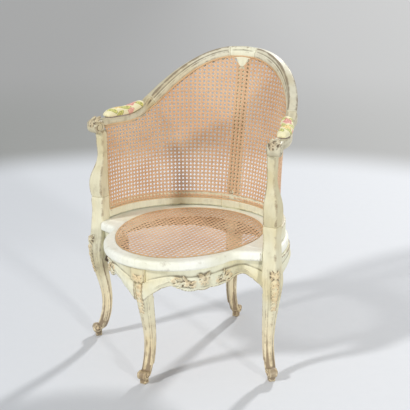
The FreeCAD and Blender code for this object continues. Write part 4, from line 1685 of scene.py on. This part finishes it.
@dataclass
class CanePanels:
    """Woven cane of the seat and of the back, with binding along the edges."""

    sizes: Weave
    seat_sizes: Weave
    back_radius: float = 0.290
    edge_room: float = 0.0015
    band: float = 0.0052
    tiny: float = 1e-4
    drop_angle: float = math.radians(8.32)
    strip_angle: float = math.radians(6.32)
    crown_share: float = 0.4
    sheet: float = 0.002
    pair_gap: float = 0.115
    head_step: float = 0.002
    head_steps: int = 40
    head_turn: float = 0.2
    head_turns: int = 60
    steps: int = 61
    spare: int = 2
    seat_margin: float = 0.01
    seat_rows: int = 70
    seat_corners: int = 72
    corner_window: float = math.pi / 60
    # Section of the binding: places across it and heights, in shares of its width
    profile: Rows = (
        (-0.5, 0.0), (-0.36, 0.2), (0.0, 0.3), (0.36, 0.2), (0.5, 0.0))

    def families(self, low: Vector, high: Vector, pitch: float) -> list[Family]:
        """Six sets of strands that cover a flat rectangle.

        Args:
            low: lowest corner, in metres.
            high: highest corner, in metres.
            pitch: spacing of the strands.

        Returns:
            Two level, two upright and two slanted sets.
        """
        first = (math.floor(low.x / pitch) - 1, math.floor(low.y / pitch) - 1)
        columns = math.ceil(high.x / pitch) + 1 - first[0]
        rows = math.ceil(high.y / pitch) + 1 - first[1]
        sets = []
        for side, phase in ((-self.pair_gap, 0.0), (self.pair_gap, math.pi)):
            sets.append(Family((first[0], first[1] + side), (0, 1), rows, (0.5, 0), 2 * columns + 1,
                               "Strand", 0.0, phase))
            sets.append(Family((first[0] + side, first[1]), (1, 0), columns, (0, 0.5), 2 * rows + 1,
                               "Strand", 0.0, phase + math.pi))
        for slope in (1, -1):
            begin = first[0] - rows if slope > 0 else first[0]
            sets.append(Family((begin + 0.5, first[1]), (1, 0), columns + rows, (0.5 * slope, 0.5),
                               2 * rows + 1, "Slanted", 0.9 if slope > 0 else -0.6, 0.5 * math.pi))
        return sets

    def guide(self, name: str, rows: list[list[Vector]], flats: list[list[Vector]],
              rooms: list[list[float]], flip: bool) -> Object:
        """Grid that carries the weave.

        Args:
            name: the object's name.
            rows: places of its points.
            flats: flat places of the same points.
            rooms: distance inside the panel's edge at each point.
            flip: whether the faces are turned over.

        Returns:
            The guide object.
        """
        height, width = len(rows), len(rows[0])
        faces = []
        for i in range(height - 1):
            for j in range(width - 1):
                quad = (i * width + j, i * width + j + 1, (i + 1) * width + j + 1, (i + 1) * width + j)
                faces.append(quad[::-1] if flip else quad)
        mesh = bpy.data.meshes.new(name)
        mesh.from_pydata([p for row in rows for p in row], [], faces)
        flat_points = [p for row in flats for p in row]
        layer = mesh.uv_layers.new(name="flat")
        for loop in mesh.loops:
            layer.data[loop.index].uv = flat_points[loop.vertex_index].xy
        room = mesh.attributes.new("room", "FLOAT", "POINT")
        room.data.foreach_set("value", [r for row in rooms for r in row])
        mesh.shade_smooth()
        return add_object(name, mesh)

    def back_edges(self) -> tuple[Callable[[float], tuple[Vector, Vector]], float]:
        """Finds the lower and upper edges of the back panel by angle, from its own corners.

        Returns:
            A function from an angle on the right side to the two edge points, and the last angle.
        """
        points = mesh_points(solid("back_cane"))
        angle, radius = polar(points)
        base_z = points[:, 2].min()
        lowest = radius[points[:, 2] < base_z + self.tiny]
        base_radius = lowest.min() + self.sheet / 2
        last = angle.max()
        stations, heights, radii = [], [], []
        for station in np.arange(self.drop_angle, last, self.strip_angle):
            near = np.abs(angle - station) < self.strip_angle / 2
            chosen = np.flatnonzero(near)[points[near, 2].argmax()]
            stations.append(angle[chosen])
            heights.append(points[chosen, 2])
            close = near & (points[:, 2] > points[chosen, 2] - self.sheet)
            radii.append((radius[close].min() + radius[close].max()) / 2)
        crown = heights[0] + (heights[0] - heights[1]) * self.crown_share
        stations, heights, radii = [0.0] + stations, [crown] + heights, [radii[0]] + radii

        def edges(turn: float) -> tuple[Vector, Vector]:
            """Lower and upper edge points at an angle.

            Args:
                turn: the angle.

            Returns:
                The two points.
            """
            out = Vector((math.sin(turn), math.cos(turn), 0))
            top_radius = float(np.interp(turn, stations, radii))
            top_z = float(np.interp(turn, stations, heights))
            return (MIDDLE + out * base_radius + UP * base_z, MIDDLE + out * top_radius + UP * top_z)

        return edges, float(last)

    def drop_edge(self, edges: Callable[[float], tuple[Vector, Vector]]) -> Callable[[float], float]:
        """Finds how wide the stile's head stands in front of the weave.

        Args:
            edges: lower and upper edge points of the weave by angle.

        Returns:
            A function from a height to the angle of the head's edge, which is 0 below its tip.
        """
        stile = Surface(solid("back_stile"))
        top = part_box("back_cane")[1].z
        heights = [top - self.head_step * i for i in range(self.head_steps)]
        angles = []
        for z in heights:
            start = MIDDLE + UP * z
            widest = 0.0
            for i in range(self.head_turns):
                turn = math.radians(self.head_turn * i)
                base, crown = (p - MIDDLE for p in edges(turn))
                share = (z - base.z) / (crown.z - base.z)
                reach = base.xy.length + (crown.xy.length - base.xy.length) * share
                met = stile.hit(start, Vector((math.sin(turn), math.cos(turn), 0)))
                if met is not None and (met[0] - start).length < reach:
                    widest = turn
            angles.append(widest)
        log.info("stile head is %.4f wide", 2 * max(angles) * self.back_radius)
        return lambda z: float(np.interp(z, heights[::-1], angles[::-1]))

    def build_back(self, material: Material, edge: Material) -> None:
        """Weaves the back in two halves that meet behind the sitter, and binds its edges.

        Args:
            material: the cane's finish.
            edge: the binding's finish.
        """
        edges, limit = self.back_edges()
        drop = self.drop_edge(edges)
        shares = [-0.02] + [i / 12 for i in range(11)] + [0.85 + 0.01 * i for i in range(16)] + [1.02]
        columns = []
        for j in range(-self.spare, self.steps + self.spare):
            angle = limit * j / (self.steps - 1)
            ends = [Vector((math.copysign(p.x, angle), p.y, p.z)) for p in edges(abs(angle))]
            columns.append((angle, *ends))
        for side, name in ((1, "right"), (-1, "left")):
            rows, flats, rooms = [], [], []
            for share in shares:
                row, flat, room = [], [], []
                for angle, base, top in columns:
                    place = base + (top - base) * share
                    row.append(Vector((side * place.x, place.y, place.z)))
                    flat.append(Vector((side * angle * self.back_radius, place.z, 0)))
                    inside = min(share, 1 - share) * (top.z - base.z) - self.edge_room
                    outer = (limit - angle) * self.back_radius - self.edge_room
                    beside = (angle - drop(place.z)) * self.back_radius + self.tiny
                    room.append(min(inside, outer, beside))
                rows.append(row)
                flats.append(flat)
                rooms.append(room)
            guide = self.guide("back_" + name, rows, flats, rooms, side > 0)
            points = [f for flat in flats for f in flat]
            low, high = (Vector((pick(p.x for p in points), pick(p.y for p in points), 0))
                         for pick in (min, max))
            tree = WeaveTree("Back weave " + name, self.families(low, high, self.sizes.pitch))
            piece = add_object(f"woven_back_{name}", tree.run(guide, self.sizes, material))
            finish_piece(piece, material, Slot.CANE, *(["back_cane"] if side > 0 else []))
        run = columns[self.spare:-self.spare]
        lower, upper = ([Vector((-c[k].x, c[k].y, c[k].z)) for c in reversed(run)] + [c[k] for c in run]
                        for k in (1, 2))
        self.bind("back_binding", lower + upper[::-1], edge, MIDDLE)

    def build_seat(self, material: Material, edge: Material) -> None:
        """Weaves the seat and binds its edge.

        Args:
            material: the cane's finish.
            edge: the binding's finish.
        """
        low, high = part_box("seat_cane")
        centre = (low + high) / 2
        points = mesh_points(solid("seat_cane"))
        turn = np.arctan2(points[:, 1] - centre.y, points[:, 0] - centre.x)
        reach = np.hypot(points[:, 1] - centre.y, points[:, 0] - centre.x)
        corners = []
        for step in np.linspace(-math.pi, math.pi, self.seat_corners, endpoint=False):
            near = np.abs(np.angle(np.exp(1j * (turn - step)))) < self.corner_window
            chosen = np.flatnonzero(near)[reach[near].argmax()]
            corners.append((turn[chosen], reach[chosen]))
        corners = sorted(set(corners))
        turns, reaches = zip(*corners)
        rows, flats, rooms = [], [], []
        margin = self.seat_margin
        across, along = (np.linspace(low[i] - margin, high[i] + margin, self.seat_rows) for i in range(2))
        for y in along:
            row = [Vector((x, y, high.z)) for x in across]
            rows.append(row)
            flats.append([Vector((p.x, p.y, 0)) for p in row])
            room = []
            for p in row:
                outline = np.interp(math.atan2(p.y - centre.y, p.x - centre.x), turns, reaches,
                                    period=2 * math.pi)
                room.append(float(outline) - math.hypot(p.x - centre.x, p.y - centre.y) - self.edge_room)
            rooms.append(room)
        guide = self.guide("seat_guide", rows, flats, rooms, False)
        tree = WeaveTree("Seat weave", self.families(low, high, self.seat_sizes.pitch))
        piece = add_object("woven_seat", tree.run(guide, self.seat_sizes, material))
        finish_piece(piece, material, Slot.CANE, "seat_cane")
        inset = self.band / 2
        rim = [Vector((centre.x + math.cos(a) * (r - inset), centre.y + math.sin(a) * (r - inset),
                       high.z)) for a, r in corners]
        self.bind("seat_binding", rim, edge, None)

    def bind(self, name: str, ring: list[Vector], material: Material,
             axis: Optional[Vector]) -> None:
        """Half-round strip of cane along a panel's edge.

        Args:
            name: the piece's name.
            ring: closed run of edge points.
            material: its finish.
            axis: point on the upright axis that the strip faces, or None for one that faces up.
        """
        form = bmesh.new()
        count = len(ring)
        loops = []
        for i, place in enumerate(ring):
            along = (ring[(i + 1) % count] - ring[i - 1]).normalized()
            out = UP
            if axis is not None:
                out = Vector((axis.x - place.x, axis.y - place.y, 0)).normalized()
            across = along.cross(out).normalized()
            loops.append([form.verts.new(place + across * (x * self.band) + out * (y * self.band))
                          for x, y in self.profile])
        for i in range(count):
            first, second = loops[i], loops[(i + 1) % count]
            for k in range(len(self.profile)):
                n = (k + 1) % len(self.profile)
                form.faces.new((first[k], first[n], second[n], second[k]))
        bmesh.ops.recalc_face_normals(form, faces=form.faces)
        mesh = mesh_of(form, name)
        mesh.shade_smooth()
        finish_piece(add_object(name, mesh), material, Slot.CANE)


@dataclass(frozen=True)
class Braid:
    """Sizes of the braid along the pads."""

    spacing: float = 0.0016
    radius: float = 0.0013
    swing: float = 0.0017
    twist: float = 0.011


class BraidTree(SizedTree):
    """Node tree that plaits three threads along a loop."""

    def __init__(self) -> None:
        """Builds the tree."""
        super().__init__("Braid", ("Spacing", "Radius", "Swing", "Twist"))
        graph, given = self.graph, self.given
        curve = graph.get("GeometryNodeMeshToCurve", {"Mesh": given["Geometry"]})
        even = graph.get("GeometryNodeResampleCurve", {"Curve": curve, "Length": given["Spacing"]},
                         mode="LENGTH")
        joined = graph.node("GeometryNodeJoinGeometry")
        ring = graph.get("GeometryNodeCurvePrimitiveCircle", {"Resolution": 6, "Radius": given["Radius"]})
        side = graph.vector("CROSS_PRODUCT", graph.get("GeometryNodeInputTangent"), UP)
        length = graph.node("GeometryNodeSplineParameter").outputs["Length"]
        turn = graph.math("DIVIDE", graph.times(length, 2 * math.pi), given["Twist"])
        for phase in (0.0, 2 * math.pi / 3, 4 * math.pi / 3):
            angle = graph.plus(turn, phase)
            rise = graph.times(graph.math("SINE", angle), given["Swing"])
            out = graph.times(graph.math("SINE", graph.times(angle, 2.0)),
                              graph.times(given["Swing"], 0.45))
            offset = graph.vector("ADD", graph.scale(UP, rise), graph.scale(side, out))
            moved = graph.get("GeometryNodeSetPosition", {"Geometry": even, "Offset": offset})
            tube = graph.get("GeometryNodeCurveToMesh", {"Curve": moved, "Profile Curve": ring})
            graph.link(tube, joined.inputs[0])
        self.end(joined.outputs[0])


@dataclass
class ArmPads:
    """Stuffed arm pads with a printed cover, inflated as cloth, and a braid along the base."""

    grain: float = 0.005
    shrink: float = 0.95
    pressure: float = 4.0
    frames: int = 20
    cap: float = 0.006
    fill: float = 0.8
    quality: int = 6
    softening: int = 6
    fineness: int = 2
    held_lift: float = 0.002
    held_gap: float = 0.0055
    loop_points: int = 96
    loop_reach: float = 0.14
    loop_ray: float = 0.2
    loop_rise: float = 0.0015
    loop_rises: int = 30
    loop_foot: float = 0.001
    loop_in: float = 0.003
    loop_above: float = 0.03
    loop_out: float = 0.0004
    cover_bins: int = 24
    cover_window: float = 0.008
    cover_fall: float = 0.7

    def stuffed(self) -> Mesh:
        """Right-hand pad: the solid's form, swollen by pressure inside its cover.

        Returns:
            The finished mesh, before its flat pattern is laid on it.
        """
        form = solid_form("right_arm_pad")
        low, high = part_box("right_arm_pad")
        middle = (low + high) / 2
        for vertex in form.verts:
            vertex.co = middle + (vertex.co - middle) * self.shrink
        rough = add_object("pad_rough", mesh_of(form, "pad"))
        modify(rough, "REMESH", mode="VOXEL", voxel_size=self.grain)
        start = baked(rough)
        points = mesh_points(start)
        pad = add_object("pad_cloth", start)
        held = pad.vertex_groups.new(name="held")
        arm = Surface(solid("right_arm"))
        for i, place in enumerate(map(Vector, points)):
            met = arm.hit(place + UP * self.held_lift, -UP)
            if met is not None and (place - met[0]).length < self.held_gap:
                held.add([i], 1.0, "REPLACE")
        cloth = pad.modifiers.new("stuffing", "CLOTH")
        cloth.settings.use_pressure = True
        cloth.settings.uniform_pressure_force = self.pressure
        cloth.settings.effector_weights.gravity = 0.0
        cloth.settings.vertex_group_mass = "held"
        cloth.settings.quality = self.quality
        cloth.point_cache.frame_end = self.frames
        scene = bpy.context.scene
        for step in range(1, self.frames + 1):
            scene.frame_set(step)
        swollen = baked(pad)
        scene.frame_set(1)
        moved = mesh_points(swollen) - points
        reach = np.linalg.norm(moved, axis=1, keepdims=True)
        kept = points + moved * np.minimum(1.0, self.cap / np.maximum(reach, 1e-9))
        swollen.vertices.foreach_set("co", kept.astype(np.float32).ravel())
        return self.rounded(swollen)

    def rounded(self, mesh: Mesh) -> Mesh:
        """Smoothed and subdivided copy of a pad's mesh.

        Args:
            mesh: the pad's mesh.

        Returns:
            The new mesh.
        """
        piece = add_object("pad_smooth", mesh)
        modify(piece, "SMOOTH", factor=0.5, iterations=self.softening)
        modify(piece, "SUBSURF", levels=self.fineness, render_levels=self.fineness)
        done = baked(piece)
        done.shade_smooth()
        return done

    def lay_cover(self, mesh: Mesh) -> None:
        """Stores the cover's flat pattern: along the arm and across the pad, in metres.

        Args:
            mesh: the pad's mesh.
        """
        points = mesh_points(mesh)
        angle, radius = polar(points)
        middle = (angle.min() + angle.max()) / 2
        along = (angle - middle) * radius.mean()
        bins = np.linspace(along.min(), along.max(), self.cover_bins)
        near = [np.abs(along - b) < self.cover_window for b in bins]
        centre = np.interp(along, bins, [radius[n].mean() for n in near])
        crest = np.interp(along, bins, [points[n, 2].max() for n in near])
        across = (radius - centre) + np.sign(radius - centre) * (crest - points[:, 2]) * self.cover_fall
        log.info("cover is %.3f m long, %d points", along.max() - along.min(), len(points))
        layer = mesh.uv_layers.new(name="cover")
        corners = np.empty(len(mesh.loops), np.int32)
        mesh.loops.foreach_get("vertex_index", corners)
        layer.data.foreach_set("uv", np.stack([along, across], 1)[corners].astype(np.float32).ravel())

    def base_loop(self, mesh: Mesh) -> list[Vector]:
        """Closed run of points round the foot of the pad, just above the arm.

        Args:
            mesh: the pad's mesh.

        Returns:
            The points.
        """
        pad, arm = Surface(mesh), Surface(solid("right_arm"))
        points = mesh_points(mesh)
        middle = Vector(points.mean(0))
        foot = points[:, 2].min() + self.loop_foot
        loop = []
        for i in range(self.loop_points):
            angle = 2 * math.pi * i / self.loop_points
            ray = Vector((math.cos(angle), math.sin(angle), 0))
            start = middle + ray * self.loop_reach
            for step in range(self.loop_rises):
                start.z = foot + step * self.loop_rise
                met = pad.hit(start, -ray, self.loop_ray)
                if met is None:
                    continue
                under = arm.hit(met[0] - ray * self.loop_in + UP * self.loop_above, -UP)
                if under is not None and met[0].z >= under[0].z + self.loop_rise:
                    loop.append(met[0] + ray * self.loop_out)
                    break
        return loop

    @staticmethod
    def plait(loop: Sequence[Vector], braid: Material) -> Mesh:
        """Braid along a closed loop of points.

        Args:
            loop: the points.
            braid: the braid's finish.

        Returns:
            The braid's mesh.
        """
        mesh = bpy.data.meshes.new("gimp")
        count = len(loop)
        mesh.from_pydata(list(loop), [(i, (i + 1) % count) for i in range(count)], [])
        gimp = BraidTree().run(add_object("gimp_path", mesh), Braid(), braid)
        gimp.shade_smooth()
        return gimp

    def build(self, cover: Material, braid: Material) -> None:
        """Builds both pads and their braids.

        Args:
            cover: the covers' finish.
            braid: the braids' finish.
        """
        right = self.stuffed()
        self.lay_cover(right)
        gimp = self.plait(self.base_loop(right), braid)
        for name, pad, trim in (("right", right, gimp),
                                ("left", mirrored(right, "left_pad"), mirrored(gimp, "left_gimp"))):
            piece = finish_piece(add_object(f"stuffed_{name}_arm_pad", pad), cover, Slot.COVER,
                                 f"{name}_arm_pad")
            finish_piece(add_object(f"gimp_{name}_arm_pad", trim), braid, Slot.COVER)


@dataclass
class Studio:
    """Pale floor, soft lamps and the camera at the photograph's angle."""

    azimuth: float = 30.289
    elevation: float = 16.729
    distance: float = 2.8759
    focal_pixels: float = 910.38
    picture: float = 410.0
    target: Triple = (0.0293, 0.0118, 0.4864)
    # Left and right tones of the floor: near the chair, at the turn and far away. The lighter right side
    # is painted light, the darker tones at the turn are painted shade where the floor meets the backdrop,
    # and the far tones stand for the backdrop
    tones: tuple[tuple[str, str], ...] = (
        ("CACDD1", "DCDEE1"), ("8B8C89", "A8A8A6"), ("949493", "B0B0AF"))
    near_band: Pair = (2.35, 3.05)
    far_band: Pair = (3.4, 6.5)
    side_band: Pair = (-1.6, 1.6)
    right_hand: Triple = (0.866, 0.5, 0.0)
    floor_radius: float = 40.0
    floor_rough: float = 0.8
    speckle: str = "B4B7BB"
    sky: str = "F1F3F6"
    sky_strength: float = 0.46
    # Name, azimuth, elevation, strength and angle of each lamp
    lamps: tuple[tuple[str, float, float, float, float], ...] = (
        ("behind", 184.0, 27.0, 2.1, 5.0), ("front left", -27.0, 36.0, 1.75, 6.0),
        ("right", 61.0, 12.0, 1.35, 5.0))

    def camera(self) -> None:
        """Sets the camera."""
        data = bpy.data.cameras.new("camera")
        data.sensor_width = 36.0
        data.lens = self.focal_pixels / self.picture * data.sensor_width
        view = add_object("camera", data)
        back = heading(self.azimuth, self.elevation)
        view.location = Vector(self.target) + back * self.distance
        view.rotation_mode = "QUATERNION"
        view.rotation_quaternion = (-back).to_track_quat("-Z", "Y")
        bpy.context.scene.camera = view

    @staticmethod
    def lamp(name: str, azimuth: float, elevation: float, strength: float, angle: float) -> None:
        """Adds a distant soft lamp.

        Args:
            name: the lamp's name.
            azimuth: where it stands, in degrees from the chair's front towards its right.
            elevation: its height in degrees.
            strength: light that falls on a surface that faces it.
            angle: angle that it fills, in degrees, which softens its shadows.
        """
        data = bpy.data.lights.new(name, "SUN")
        data.energy = strength
        data.angle = math.radians(angle)
        made = add_object(name, data)
        back = heading(azimuth, elevation)
        made.location = back * 5
        made.rotation_mode = "QUATERNION"
        made.rotation_quaternion = back.to_track_quat("Z", "Y")

    def floor(self) -> None:
        """Pale floor that turns grey far from the chair, with painted light on its right side and a band
        of painted shade at the turn.
        """
        form = bmesh.new()
        bmesh.ops.create_circle(form, cap_ends=True, segments=96, radius=self.floor_radius)
        ground = add_object("floor", mesh_of(form, "floor"))
        material, graph, shader = start_material("floor")
        place = graph.place()
        far = graph.node("ShaderNodeVectorMath", {0: place}, operation="LENGTH").outputs["Value"]
        near = graph.ramp(far, *self.near_band)
        back = graph.ramp(far, *self.far_band)
        turned = graph.node("ShaderNodeVectorMath", {0: place, 1: self.right_hand},
                            operation="DOT_PRODUCT").outputs["Value"]
        # Painted light: the right side of the floor is lighter.
        right = graph.ramp(turned, *self.side_band)
        inner, shaded_turn, outer = (graph.mix(right, *map(srgb, pair)) for pair in self.tones)
        tone = graph.mix(back, graph.mix(near, inner, shaded_turn), outer)
        speckle = graph.noise(place, 30.0, 5.0)
        tone = graph.mix(graph.ramp(speckle, 0.3, 0.8, 0.0, 0.04), tone, srgb(self.speckle))
        graph.link(tone, shader.inputs["Base Color"])
        shader.inputs["Roughness"].default_value = self.floor_rough
        ground.data.materials.append(material)

    def light(self) -> None:
        """Sets the world and the lamps."""
        world = bpy.data.worlds.new("studio")
        world.use_nodes = True
        background = world.node_tree.nodes["Background"]
        background.inputs["Color"].default_value = srgb(self.sky)
        background.inputs["Strength"].default_value = self.sky_strength
        bpy.context.scene.world = world
        for lamp in self.lamps:
            self.lamp(*lamp)

    def build(self) -> None:
        """Sets camera, floor and light."""
        self.camera()
        self.floor()
        self.light()
        bpy.context.scene.view_settings.view_transform = "Standard"


def dress_hidden(material: Material, names: Iterable[str]) -> None:
    """Gives solids that stay inside the joints their bare-wood finish.

    Args:
        material: the finish.
        names: the solids.
    """
    for name in names:
        mesh = solid(name)
        mesh.materials.clear()
        mesh.materials.append(material)
        log.info("%s keeps its solid", name)


def main() -> None:
    """Builds the chair's sub-assemblies in order."""
    logging.basicConfig(level=logging.INFO, format="%(name)s: %(message)s")
    Studio().build()
    paint = PaintFinish("old_paint").material()
    # Paler, near-white paint of the seat frame: part a paler coat, part a painted highlight where the
    # seat's edge catches the light.
    seat_pale_paint_and_highlight = PaintFinish("seat_pale_paint_and_highlight", paint="F6F6EA", tint="EDECD6", shade="D3D2BE",
                             wear=1.2).material()
    # Greyer paint of the top rails; its darker, stronger edge wear is part wear, part painted shade along
    # the rails' outer edges.
    top_paint_and_edge_shade = PaintFinish("top_paint_and_edge_shade", paint="DAD5BE", tint="CFC5A6", shade="A19B84", wood="7B6B56",
                            wear=2.2).material()
    arm_paint = PaintFinish("arm_paint", paint="D6CFB4", tint="CBBE98", shade="9C9179", wood="7A654D",
                            grime_and_shade="5B4936", gilt="D8C19A", wear=1.3, soot=0.26).material()
    leg_paint = PaintFinish("leg_paint", paint="E4DFC2", tint="DACDA3", shade="A99F80", grime_and_shade="5E4331",
                            gilt="E8CB9E").material()
    # Darker, more worn paint of both arm posts: part grime and wear, part painted shade of the right
    # post's shaded faces.
    post_paint_and_shade = PaintFinish("post_paint_and_shade", paint="DED8BA", tint="D3C69B", shade="9F9576", grime_and_shade="5E4A38",
                             wear=2.0, soot=0.06).material()
    cane = FibreFinish("cane", "EBC8A1", "DAB087", "A0744C", (1.0, 1.0, 1.0), 0.45).material()
    binding = FibreFinish("binding", "DDBB8E", "CFA678", "A47C50", (1.0, 1.0, 1.0), 0.45).material()
    bare = FibreFinish("bare_beech", "B98F62", "A67C50", "805A36", (1.0, 1.0, 0.1), 0.6).material()
    work = Joinery(Relief())
    LegSet(work).build(leg_paint)
    SeatRails(work, BowFront()).build(paint)
    SeatFrame(work).build(seat_pale_paint_and_highlight)
    BackFrame(work).build(top_paint_and_edge_shade, paint)
    Arms(work).build(arm_paint, post_paint_and_shade)
    panels = CanePanels(Weave(), Weave(0.0150, 0.0021, 0.0024, 0.0005, 0.0002))
    panels.build_seat(cane, binding)
    panels.build_back(cane, binding)
    ArmPads().build(PrintFinish("printed_cover").material(), BraidFinish().material())
    dress_hidden(bare, ("back_dowels", "seat_dowels", "seat_tongues"))


if __name__ == "__main__":
    main()
